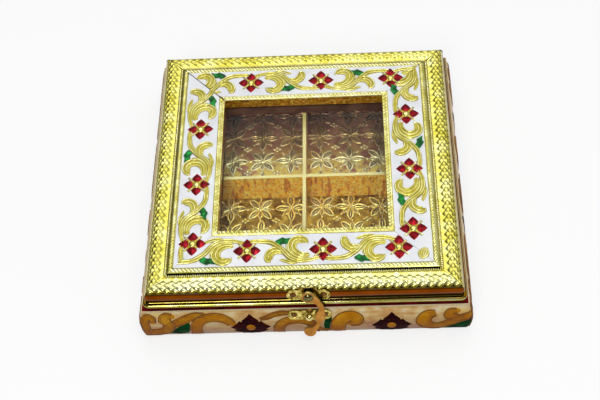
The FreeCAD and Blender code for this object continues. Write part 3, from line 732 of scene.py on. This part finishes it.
VINE_CRESTS = {
    "stem": (((1.0, 7.2, 0.6), (4.0, 7.8, 0.9), (7.0, 7.7, 1.1), (12.0, 7.4, 1.2), (15.5, 6.4, 1.3),
              (18.6, 4.2, 1.3), (21.4, 1.6, 1.3), (23.6, -1.4, 1.3), (26.0, -4.4, 1.3), (29.5, -6.4, 1.2),
              (34.0, -7.0, 1.2), (39.0, -6.4, 1.0), (42.5, -5.4, 0.8), (45.0, -4.8, 0.6)),
             ((1.0, 5.4, 0.6), (4.0, 5.9, 0.9), (7.0, 5.7, 1.1), (11.5, 5.6, 1.2), (14.6, 4.7, 1.3),
              (17.8, 2.7, 1.3), (20.6, 0.2, 1.3), (22.8, -2.6, 1.3), (25.0, -5.4, 1.3), (28.4, -7.6, 1.2),
              (33.0, -8.7, 1.2), (38.0, -8.3, 1.0), (42.0, -7.3, 0.8), (45.0, -6.4, 0.6)),
             ((23.8, 4.2, 0.5), (24.0, 2.0, 0.9), (24.9, -0.6, 0.9), (26.6, -3.0, 0.6))),
    "hook": (((22.0, 1.6, 0.6), (18.5, 2.0, 1.1), (15.4, 1.3, 1.3), (12.7, -0.8, 1.4), (11.3, -3.6, 1.4),
              (11.2, -6.2, 1.4), (12.6, -8.2, 1.3), (14.6, -8.2, 0.9)),
             ((23.0, -1.2, 0.6), (19.5, -0.4, 1.1), (16.4, -0.6, 1.3), (14.2, -2.2, 1.3), (13.2, -4.6, 1.3),
              (13.8, -6.6, 1.0)),
             ((23.6, -3.2, 0.6), (20.4, -2.2, 1.0), (17.8, -2.5, 1.2), (16.1, -4.0, 1.2),
              (15.5, -6.2, 0.9))),
    "scroll": (((37.0, -5.6, 0.6), (33.0, -5.6, 1.1), (29.4, -4.6, 1.3), (26.6, -2.2, 1.4),
                (25.2, 1.2, 1.4), (25.4, 4.8, 1.4), (27.4, 8.0, 1.4), (30.8, 9.6, 1.3), (34.4, 9.2, 1.3),
                (36.8, 7.2, 1.2), (37.3, 4.8, 0.9)),
               ((38.5, -3.9, 0.6), (34.5, -4.2, 1.1), (31.0, -3.2, 1.3), (28.5, -0.8, 1.3),
                (27.5, 2.2, 1.3), (28.2, 5.2, 1.3), (30.4, 7.2, 1.3), (33.2, 7.4, 1.2), (35.2, 6.0, 0.9)),
               ((37.5, -2.4, 0.6), (34.5, -2.6, 1.0), (32.0, -1.5, 1.2), (30.2, 0.6, 1.2),
                (29.9, 3.0, 1.2), (31.2, 5.0, 1.2), (33.2, 5.0, 0.9))),
    "leaf": (((20.0, -7.1, 0.6), (23.5, -8.7, 1.1), (27.0, -9.7, 1.2), (30.4, -9.6, 0.8)),
             ((21.2, -6.4, 0.6), (24.0, -7.2, 1.0), (27.0, -8.3, 0.9))),
}
# The leaflets between two petals, drawn for one corner of the flower.
SEPALS = (((3.0, -3.0, 0.7), (4.4, -4.2, 1.2), (5.7, -5.0, 0.5)),
          ((3.0, -3.0, 0.7), (4.2, -4.4, 1.2), (5.0, -5.7, 0.5)))
# Where each side's repeats start, whether their leaf is at the outer edge (1) or the inner (-1), and
# which of their parts the corner leaves out.
REPEATS = {
    "front": ((-80.5, 1, ("hook",)), (-34.0, -1, ()), (12.4, 1, ())),
    "right": ((-54.6, -1, ()), (-9.0, 1, ()), (36.0, -1, ())),
    "rear": ((-105.0, -1, ()), (-59.0, 1, ()), (-12.0, -1, ()), (35.4, 1, ())),
    "left": ((-74.6, -1, ()), (-28.6, 1, ()), (16.6, -1, ()), (61.6, 1, ())),
}
FLOWERS = {
    "front": (-34.0, 12.4, 58.4), "right": (-54.6, -9.0, 36.0),
    "rear": (-59.0, -12.0, 35.4), "left": (-28.6, 16.6, 61.6),
}
LEAVES = {
    "front": ((-58.0, 74.6), (-12.0, 61.6), (36.0, 75.2)),
    "right": ((-33.0, 61.6), (12.0, 75.4), (57.4, 61.0)),
    "rear": ((-36.4, 73.4), (10.4, 61.6), (57.8, 75.0)),
    "left": ((-52.0, 60.8), (-6.4, 75.0), (39.6, 62.0)),
}
LEAF_OUTLINE = ((-4.9, -0.7), (-1.9, -2.9), (-0.1, -1.7), (2.1, -1.9), (5.1, 2.1), (1.6, 1.7), (-0.4, 2.7),
                (-2.4, 1.5), (-4.4, 0.3))

# How far the crests stand above the panel, so that their feet just reach it.
CREST_LIFT = 0.12
crest_profile = rib_profile("crest_profile", 0.48, CREST_LIFT)
ground_profile = rib_profile("ground_profile", 0.06, 0.02)
petal_stone = template(facets, ((2.3, 1.5), (4.5, 3.4), (6.7, 2.0), (8.6, 0.0), (6.7, -2.0), (4.5, -3.4),
                                (2.3, -1.5)), 0.2, 0.9)
leaf_stones = {1: template(facets, [(x, -t) for x, t in LEAF_OUTLINE], 0.72, 0.38),
               -1: template(facets, LEAF_OUTLINE, 0.72, 0.38)}
flower_eye = template(oval, 12, 6, 2.3, 2.3, 0.85)
flower_seat = template(oval, 16, 4, 4.4, 4.4, 0.22)
# A ribbed gold almond that fills the front right corner.
CORNER_BOSS, CORNER_BOSS_TURN = (73.0, -72.6), 68.0
corner_boss = kept(banded([((-4.4, 0.25 * y, 0.7), (-0.6, y, 1.7), (4.0, 0.35 * y, 0.8))
                           for y in (-2.8, -1.4, 0.0, 1.4, 2.8)], crest_profile))

for side in SIDES:
    grounds, crests = [], []
    for start, way, left_out in REPEATS[side]:
        for part in VINE_GROUNDS:
            if part in left_out:
                continue
            for lines, drawn in ((VINE_GROUNDS[part], grounds), (VINE_CRESTS[part], crests)):
                drawn.extend(tipped([(start + s, -(PANEL_MIDDLE + way * t), width) for s, t, width in line])
                             for line in lines)
    for s in FLOWERS[side]:
        for mirror_x in (1, -1):
            for line in SEPALS:
                for mirror_y in (1, -1):
                    crests.append([(s + mirror_x * x, -(PANEL_MIDDLE + mirror_y * t), width)
                                   for x, t, width in line])
    for name, drawn, profile, up, middle, paint in (
            ("vine_grounds", grounds, ground_profile, PANEL_TOP, flower_seat, shaded_gold),
            ("vine_crests", crests, crest_profile, PANEL_TOP + CREST_LIFT, flower_eye, scroll_gold)):
        bm = banded(drawn, profile)
        bmesh.ops.translate(bm, vec=(0, 0, up), verts=bm.verts)
        mitred(bm)
        for s in FLOWERS[side]:
            set_down(bm, middle, placed(s, -PANEL_MIDDLE, PANEL_TOP))
        finished(name, bm, "lid", [paint], 50.0, side)

    if side == "front":
        bm = bmesh.new()
        set_down(bm, corner_boss, placed(*CORNER_BOSS, PANEL_TOP, CORNER_BOSS_TURN))
        finished("corner_boss", bm, "lid", [scroll_gold], 50.0)

    bm = bmesh.new()
    for s in FLOWERS[side]:
        for turn in SIDES.values():
            set_down(bm, petal_stone, placed(s, -PANEL_MIDDLE, PANEL_TOP, turn))
    finished("flower_petals", bm, "lid", [red_enamel], 3.0, side)

    bm = bmesh.new()
    for s, t in LEAVES[side]:
        set_down(bm, leaf_stones[1 if t > PANEL_MIDDLE else -1], placed(s, -t, PANEL_TOP))
    finished("vine_leaves", bm, "lid", [green_enamel], 3.0, side)


# The two rear mitres have opened a little and show dark wood: (out, up) along each, from the outside in.
MITRE_TOP = ((96.3, 34.6), (95.9, 36.8), (94.7, 38.9), (92.5, 40.5), (89.9, 41.05), (87.0, 40.5),
             (82.6, 40.5), (82.2, 41.6), (80.5, 42.3), (78.6, 42.06), (56.6, 42.06), (56.2, 42.9),
             (54.5, 43.1), (52.9, 42.7))
MITRE_INNER_UP = 36.0
MITRE_FOOT = (93.0, 33.0)
MITRE_HALF_WIDTH = 0.2
for name, way, points in (("rear_left", -1, MITRE_TOP), ("rear_right", 1, MITRE_TOP[:10])):
    outline = [*points, (points[-1][0], MITRE_INNER_UP), MITRE_FOOT]
    bm = bmesh.new()
    for across in (-MITRE_HALF_WIDTH, MITRE_HALF_WIDTH):
        bm.faces.new([bm.verts.new((way * (out + across), out - across, up)) for out, up in outline])
    bmesh.ops.bridge_loops(bm, edges=bm.edges[:])
    bmesh.ops.recalc_face_normals(bm, faces=bm.faces)
    finished(f"open_mitre_{name}", bm, "lid", [bare_wood], 30.0)


# The base's printed card.

# The card's length over which it goes round half a corner, and how near the print comes to its face.
CORNER_BEND = 4.0
PRINT_MARGIN = 0.004


def onto_belly(bm):
    """Trims a flat drawing (along, up, relief) to the card and bends it onto the base's bulging front."""
    cut(bm, (0, CARD_LOW, 0), (0, -1, 0))
    cut(bm, (0, CARD_HIGH, 0), (0, 1, 0))
    for vert in bm.verts:
        s, up, relief = vert.co
        angle = (up - BELLY_CENTRE_UP) / BELLY_RADIUS
        radius = min(CARD_GROUND_RADIUS + relief, BELLY_RADIUS - PRINT_MARGIN)
        out = BELLY_CENTRE_OUT + radius * math.cos(angle)
        level = BELLY_CENTRE_UP + radius * math.sin(angle)
        over = abs(s) - BASE_CORNER_OUT
        if over > 0:
            bend = min(over / CORNER_BEND, math.pi / 4)
            reach = out - BASE_CORNER_OUT
            across = BASE_CORNER_OUT + reach * math.sin(bend)
            vert.co = (math.copysign(across, s), -(BASE_CORNER_OUT + reach * math.cos(bend)), level)
        else:
            vert.co = (s, -out, level)


# The bronze scrolls as (along, up, width), the middles of the maroon flowers, and the leaves' outlines.
BASE_BANDS = (
    ((-99.5, 6.0, 4.6), (-98.2, 12.5, 4.6), (-98.6, 17.5, 4.6), (-96.0, 21.6, 4.4), (-93.6, 20.0, 4.0),
     (-93.2, 16.6, 3.2)),
    ((-101.5, 4.2, 6.4), (-97.0, 4.4, 6.8), (-91.5, 4.8, 6.6), (-86.0, 7.8, 6.0), (-83.4, 14.0, 6.0),
     (-86.0, 18.6, 5.8), (-84.0, 22.0, 5.0), (-81.2, 21.4, 3.8)),
    ((-86.0, 10.5, 4.0), (-80.0, 14.6, 5.0), (-73.4, 18.6, 5.0), (-66.5, 22.2, 4.2), (-61.0, 22.8, 2.4)),
    ((-67.2, 1.0, 5.6), (-67.2, 9.5, 5.8), (-64.2, 16.6, 5.8), (-58.6, 19.8, 5.8), (-52.6, 19.8, 5.8),
     (-47.4, 17.0, 5.4), (-44.8, 13.4, 4.6)),
    ((-27.4, 17.6, 1.8), (-23.0, 19.0, 2.8), (-17.6, 21.8, 3.0), (-10.0, 22.6, 2.6), (-4.0, 21.6, 1.8)),
    ((-16.6, 1.0, 5.6), (-15.6, 9.6, 5.6), (-11.6, 14.6, 5.6), (-4.0, 16.0, 5.6), (2.6, 13.4, 5.2),
     (5.4, 8.0, 4.8), (8.6, 3.2, 4.6), (14.0, 1.6, 4.2)),
    ((19.8, 0.6, 7.4), (20.0, 7.4, 7.8), (21.6, 13.6, 8.0), (25.4, 17.8, 7.8), (29.4, 17.8, 7.4),
     (31.6, 14.6, 7.0), (30.4, 11.2, 6.0), (27.6, 10.6, 4.4)),
    ((79.4, 19.2, 4.4), (75.4, 18.4, 6.2), (72.6, 14.6, 7.4), (72.6, 9.8, 7.6), (75.6, 6.0, 7.0),
     (81.2, 5.0, 6.2), (86.4, 8.2, 5.6), (92.0, 12.2, 5.4), (97.0, 15.0, 5.4), (101.8, 17.0, 5.4)),
    ((96.4, 14.2, 4.4), (91.4, 14.6, 5.2), (87.4, 17.0, 5.4), (88.6, 20.2, 4.8), (92.0, 20.8, 3.8)),
)
BASE_FLOWERS = ((-33.5, 8.7), (52.8, 7.4))
BASE_LEAVES = (
    ((-85.6, 3.6), (-78.0, 11.2), (-71.0, 17.4), (-70.6, 10.0), (-72.6, 3.4), (-78.0, 1.6)),
    ((11.6, 3.6), (11.4, 11.0), (13.0, 18.6), (16.4, 18.8), (16.6, 10.0), (15.6, 3.2)),
    ((83.0, 0.8), (89.0, 6.8), (95.4, 11.2), (101.6, 13.8), (101.8, 4.0), (98.5, 0.8)),
)
# A flower's overlapping lozenges: offset along and up, half width and half height.
BASE_PETALS = ((0, 7.6, 5.2, 6.2), (-6.6, 0.6, 5.6, 6.6), (6.6, 0.6, 5.6, 6.6), (0, -6.4, 5.2, 6.2),
               (-3.2, 4.0, 5.0, 5.0), (3.2, 4.0, 5.0, 5.0), (-4.2, -4.0, 6.4, 5.4), (4.2, -4.0, 6.4, 5.4),
               (0, 0, 5.0, 5.0))
# Lines, along and up, at which a leaf is scored so that it bends round the corner.
LEAF_SCORES_ALONG = (86.0, 89.0, 92.0, 95.0, 97.0, 98.3, 99.0, 99.7, 100.4, 101.1)
LEAF_SCORES_UP = (3.0, 6.0, 9.0, 12.0)
BAND_SWELL = 1.2
# The drawn lines along a band: place across it, as a share of its width, and thickness.
KEY_LINES = ((-0.5, 0.7), (-0.24, 0.4), (0.06, 0.4), (0.3, 0.4), (0.5, 0.7))
KEY_LINE_LIFT = 0.3
FLOWER_EYE_LIFT = 0.02
CARD_STEPS = 14
CARD_BENDS = 6


def lozenge(bm, wide, high):
    """A low stone with four points and hollow sides."""
    waist, half = 0.42 * wide, 0.5 * high
    facets(bm, ((-wide, 0), (-waist, half), (0, high), (waist, half), (wide, 0), (waist, -half),
                (0, -high), (-waist, -half)), 0.22, 0.25)


def beside(line, share):
    """The line that runs beside a band's middle line, at a share of the band's width."""
    run = []
    for i, (x, y, width) in enumerate(line):
        (x0, y0, _), (x1, y1, _) = line[max(i - 1, 0)], line[min(i + 1, len(line) - 1)]
        length = math.hypot(x1 - x0, y1 - y0)
        run.append((x - (y1 - y0) / length * share * width, y + (x1 - x0) / length * share * width))
    return run


band_profile = rib_profile("band_profile", 0.06, 0.008)
line_profile = rib_profile("line_profile", 0.3, 0.2)
eye_oval = template(oval, 16, 6, 3.1, 4.1, 0.64)
base_petals = [(dx, dy, template(lozenge, wide, high)) for dx, dy, wide, high in BASE_PETALS]
base_leaves = [template(facets, outline, 0.16, 0.3) for outline in BASE_LEAVES]
swollen = [[(x, y, BAND_SWELL * width) for x, y, width in line] for line in BASE_BANDS]
scores = [((s, 0, 0), (1, 0, 0)) for s in LEAF_SCORES_ALONG]
scores += [((0, up, 0), (0, 1, 0)) for up in LEAF_SCORES_UP]

for side in SIDES:
    # The card's edge at the left end of the straight run, spun half round each corner.
    bm = bmesh.new()
    arc = []
    for i in range(CARD_STEPS + 1):
        up = CARD_LOW + (CARD_HIGH - CARD_LOW) * i / CARD_STEPS
        reach = math.sqrt(CARD_GROUND_RADIUS ** 2 - (up - BELLY_CENTRE_UP) ** 2)
        arc.append(bm.verts.new((-BASE_CORNER_OUT, -(BELLY_CENTRE_OUT + reach), up)))
    arc_edges = [bm.edges.new(pair) for pair in zip(arc, arc[1:])]
    bmesh.ops.spin(bm, geom=arc + arc_edges, cent=(-BASE_CORNER_OUT, -BASE_CORNER_OUT, 0), axis=(0, 0, 1),
                   angle=-math.pi / 4, steps=CARD_BENDS)
    run = bmesh.ops.extrude_edge_only(bm, edges=arc_edges)["geom"]
    far_verts = [v for v in run if isinstance(v, bmesh.types.BMVert)]
    bmesh.ops.translate(bm, vec=(2 * BASE_CORNER_OUT, 0, 0), verts=far_verts)
    far_edges = [e for e in run if isinstance(e, bmesh.types.BMEdge)
                 and all(v in far_verts for v in e.verts)]
    bmesh.ops.spin(bm, geom=far_verts + far_edges, cent=(BASE_CORNER_OUT, -BASE_CORNER_OUT, 0),
                   axis=(0, 0, 1), angle=math.pi / 4, steps=CARD_BENDS)
    bmesh.ops.remove_doubles(bm, verts=bm.verts, dist=0.001)
    bmesh.ops.recalc_face_normals(bm, faces=bm.faces)
    if sum(f.normal.y for f in bm.faces) > 0:
        bmesh.ops.reverse_faces(bm, faces=bm.faces)
    bmesh.ops.solidify(bm, geom=bm.faces[:], thickness=CARD_GROUND_RADIUS - CARD_BACK_RADIUS)
    finished("base_card", bm, "base", [pearl_card], 40.0, side,
             stands_for=[f"base_foil_{side}"])

    bm = banded([tipped(line) for line in swollen], band_profile)
    for s, up in BASE_FLOWERS:
        set_down(bm, eye_oval, placed(s, up, FLOWER_EYE_LIFT))
    onto_belly(bm)
    finished("base_scrolls", bm, "base", [bronze_ink], 50.0, side)

    bm = banded([[(x, y, thickness) for x, y in beside(line, share)]
                 for line in swollen for share, thickness in KEY_LINES], line_profile)
    bmesh.ops.translate(bm, vec=(0, 0, KEY_LINE_LIFT), verts=bm.verts)
    onto_belly(bm)
    finished("base_key_lines", bm, "base", [line_ink], 50.0, side)

    bm = bmesh.new()
    for s, up in BASE_FLOWERS:
        for dx, dy, petal in base_petals:
            set_down(bm, petal, placed(s + dx, up + dy, 0.0))
    onto_belly(bm)
    finished("base_flowers", bm, "base", [maroon_ink], 5.0, side)

    bm = bmesh.new()
    for leaf in base_leaves:
        set_down(bm, leaf, placed(0.0, 0.0, 0.0))
    for at, normal in scores:
        everything = bm.verts[:] + bm.edges[:] + bm.faces[:]
        bmesh.ops.bisect_plane(bm, geom=everything, plane_co=at, plane_no=normal)
    onto_belly(bm)
    finished("base_leaves", bm, "base", [green_ink], 5.0, side)


# The pressed floors.

PETAL_LENGTH, PETAL_WIDTH = 10.0, 4.0
PETAL_EDGE = ((-0.5, 0.0, 0.8), (-0.27, 0.36, 1.6), (0.0, 0.5, 1.8), (0.27, 0.36, 1.6), (0.5, 0.0, 0.8))
PETAL_VEIN = ((-3.0, 0.0, 0.5), (0.0, 0.0, 0.9), (2.6, 0.0, 0.4))
petal_sides = [[(PETAL_LENGTH * x, way * PETAL_WIDTH * y, width) for x, y, width in PETAL_EDGE]
               for way in (1, -1)]
floor_petal = kept(banded([*petal_sides, PETAL_VEIN], crest_profile, 2))
petal_well = template(oval, 8, 4, 0.4 * PETAL_LENGTH, 0.34 * PETAL_WIDTH, 0.2)
floor_dot = template(oval, 8, 5, 1.35, 1.1, 0.9)
floor_eye = template(oval, 8, 5, 1.4, 1.4, 0.9)

# Each floor has four rows of four flowers, with four dots together where four flowers meet.
FLOWER_PITCH = 20.0
FLOWER_ROWS = 4
TIP_DOT_REACH, TIP_DOT_SIZE = 8.4, 0.8
DOT_GROUP = ((0, 1.3), (0, -1.3), (1.9, 0), (-1.9, 0))
# The press and the glue leave each flower a little shifted, turned and stretched.
FLOOR_SEED = 5
SHIFT, TURN = 0.5, 4.0
# The petals' distance from the flower's middle, and the smallest and largest of their sizes.
LARGE_PETAL, SMALL_PETAL = (5.8, (0.9, 1.0)), (4.4, (0.52, 0.64))
hand = random.Random(FLOOR_SEED)
QUARTERS = {"front_left": (-1, -1), "front_right": (1, -1), "rear_left": (-1, 1), "rear_right": (1, 1)}
for quarter, (way_x, way_y) in QUARTERS.items():
    bm = bmesh.new()
    for i in range(FLOWER_ROWS):
        for j in range(FLOWER_ROWS):
            x = way_x * FLOWER_PITCH * (i + 0.5) + hand.uniform(-SHIFT, SHIFT)
            y = way_y * FLOWER_PITCH * (j + 0.5) + hand.uniform(-SHIFT, SHIFT)
            slanted = (i + j + (way_x < 0) + (way_y < 0)) % 2
            first = 45.0 * slanted + hand.uniform(-TURN, TURN)
            for eighth in range(8):
                turn, large = first + 45 * eighth, eighth % 2 == 0
                along, across = math.cos(math.radians(turn)), math.sin(math.radians(turn))
                reach, sizes = LARGE_PETAL if large else SMALL_PETAL
                spot = placed(x + reach * along, y + reach * across, FLOOR_TOP, turn, hand.uniform(*sizes))
                set_down(bm, floor_petal, spot)
                set_down(bm, petal_well, spot, 1)
                if not large:
                    set_down(bm, floor_dot, placed(x + TIP_DOT_REACH * along, y + TIP_DOT_REACH * across,
                                                   FLOOR_TOP, turn, TIP_DOT_SIZE))
            set_down(bm, floor_eye, placed(x, y, FLOOR_TOP))
            if i and j:
                for dx, dy in DOT_GROUP:
                    set_down(bm, floor_dot, placed(x - way_x * FLOWER_PITCH / 2 + dx,
                                                   y - way_y * FLOWER_PITCH / 2 + dy, FLOOR_TOP))
    finished(f"floor_emboss_{quarter}", bm, "base", [painted_sparkle_gold, petal_shade_foil], 40.0)


# Softened hardware.

JOIN_DISTANCE = 0.01
SOFT_EDGE = 0.32
SOFT_EDGE_ANGLE = 40
for node_name in ("clasp_plate", "keeper_plate", "clasp_hook"):
    node = frame["nodes"][node_name]
    node.modifiers.new("join", "WELD").merge_threshold = JOIN_DISTANCE * MM
    soft = node.modifiers.new("soft_edge", "BEVEL")
    soft.width = SOFT_EDGE * MM
    soft.segments = 3
    soft.limit_method = "ANGLE"
    soft.angle_limit = math.radians(SOFT_EDGE_ANGLE)
    soft.harden_normals = False


# Stage, light and camera.

# The floor is matt paper, paler to the eye and in mirrors and glass than to the light it bounces.
FLOOR_TONE, FLOOR_SEEN, FLOOR_GLOW = "#C8C8C8", "#FFFFFF", 0.75
FLOOR_RADIUS, FLOOR_DROP = 6.0, 0.0002
floor_paper = bpy.data.materials.new("studio_floor_paper")
floor_paper.use_nodes = True
tree = floor_paper.node_tree
path = add(tree, "LightPath").outputs
eye = add(tree, "Math", {0: path["Is Camera Ray"], 1: path["Is Glossy Ray"]}, operation="MAXIMUM")
eye = add(tree, "Math", {0: eye.outputs[0], 1: path["Is Transmission Ray"]}, operation="MAXIMUM")
tone = add(tree, "Mix", {0: eye.outputs[0], 6: srgb(FLOOR_TONE), 7: srgb(FLOOR_SEEN)}, data_type="RGBA")
shader = tree.nodes["Principled BSDF"]
shader.inputs["Roughness"].default_value = 0.9
shader.inputs["Specular IOR Level"].default_value = 0.0
tree.links.new(tone.outputs[2], shader.inputs["Base Color"])
white = add(tree, "Emission", {"Color": srgb(FLOOR_SEEN), "Strength": 1.0})
glow = add(tree, "Math", {0: eye.outputs[0], 1: FLOOR_GLOW}, operation="MULTIPLY")
both = add(tree, "MixShader", {0: glow.outputs[0], 1: shader.outputs["BSDF"], 2: white.outputs[0]})
tree.links.new(both.outputs["Shader"], tree.nodes["Material Output"].inputs["Surface"])

bm = bmesh.new()
bmesh.ops.create_circle(bm, cap_ends=True, segments=64, radius=FLOOR_RADIUS)
mesh = bpy.data.meshes.new("studio_floor")
bm.to_mesh(mesh)
bm.free()
mesh.materials.append(floor_paper)
floor = bpy.data.objects.new("studio_floor", mesh)
bpy.context.scene.collection.objects.link(floor)
floor.location.z = -FLOOR_DROP

# The room: a bright ceiling towards the rear, a brighter panel in it, and a dim wall at the left.
CEILING, PANEL = (0.03, 0.38, 0.924), (-0.05, 0.577, 0.815)
world = bpy.data.worlds.new("studio")
bpy.context.scene.world = world
world.use_nodes = True
tree = world.node_tree
sky = tree.nodes["Background"]
direction = add(tree, "TexCoord").outputs["Generated"]
ceiling, panel = [add(tree, "VectorMath", {0: direction, 1: way}, operation="DOT_PRODUCT").outputs["Value"]
                  for way in (CEILING, PANEL)]
left_right = add(tree, "SeparateXYZ", {"Vector": direction}).outputs["X"]
ceiling, dim, panel = [
    add(tree, "MapRange", {"Value": value, "From Min": low, "From Max": high, "To Min": first,
                           "To Max": last}, interpolation_type="SMOOTHSTEP").outputs["Result"]
    for value, low, high, first, last in ((ceiling, 0.6, 0.97, 0.28, 1.12),
                                          (left_right, -0.9, -0.2, 0.3, 1.0),
                                          (panel, 0.88, 0.985, 0.0, 0.85))]
level = add(tree, "Math", {0: ceiling, 1: dim}, operation="MULTIPLY")
level = add(tree, "Math", {0: level.outputs[0], 1: panel}, operation="ADD")
tree.links.new(level.outputs[0], sky.inputs["Strength"])
sky.inputs["Color"].default_value = srgb("#FFFFFF")

# Two small softboxes put the sharp glints on the metal: place, width in metres and radiance.
SOFTBOXES = {"overhead": ((0.3, -0.25, 1.25), 0.3, 7.0), "front": ((-0.2, -0.9, 0.85), 0.3, 13.0)}
for name, (spot, width, radiance) in SOFTBOXES.items():
    lamp = bpy.data.lights.new(f"softbox_{name}", "AREA")
    lamp.shape = "SQUARE"
    lamp.size = width
    lamp.energy = radiance * math.pi * width ** 2
    softbox = bpy.data.objects.new(f"softbox_{name}", lamp)
    softbox.location = spot
    softbox.rotation_euler = (-Vector(spot)).to_track_quat("-Z", "Y").to_euler()
    bpy.context.scene.collection.objects.link(softbox)


# The photograph's camera, in degrees, millimetres and pixels of a 600 by 400 image.
AZIMUTH, ELEVATION, ROLL = 4.905, 54.573, -5.717
DISTANCE, AIM = 694.36, Vector((-1.738, -30.908, PANEL_TOP))
FOCAL_PIXELS, IMAGE_WIDTH, SENSOR = 1108.49, 600, 36.0
az, el, roll = (math.radians(v) for v in (AZIMUTH, ELEVATION, ROLL))
back = Vector((math.sin(az) * math.cos(el), -math.cos(az) * math.cos(el), math.sin(el)))
level_x = Vector((0, 0, 1)).cross(back).normalized()
level_y = back.cross(level_x)
right = math.cos(roll) * level_x + math.sin(roll) * level_y
above = -math.sin(roll) * level_x + math.cos(roll) * level_y
spot = (AIM + back * DISTANCE) * MM
data = bpy.data.cameras.new("camera")
data.sensor_fit = "HORIZONTAL"
data.sensor_width = SENSOR
data.lens = FOCAL_PIXELS / IMAGE_WIDTH * SENSOR
camera = bpy.data.objects.new("camera", data)
bpy.context.scene.collection.objects.link(camera)
camera.matrix_world = Matrix((
    (right.x, above.x, back.x, spot.x), (right.y, above.y, back.y, spot.y),
    (right.z, above.z, back.z, spot.z), (0, 0, 0, 1)))
bpy.context.scene.camera = camera
bpy.context.scene.view_settings.view_transform = "Standard"

for profile in (crest_profile, ground_profile, band_profile, line_profile):
    bpy.data.objects.remove(profile)
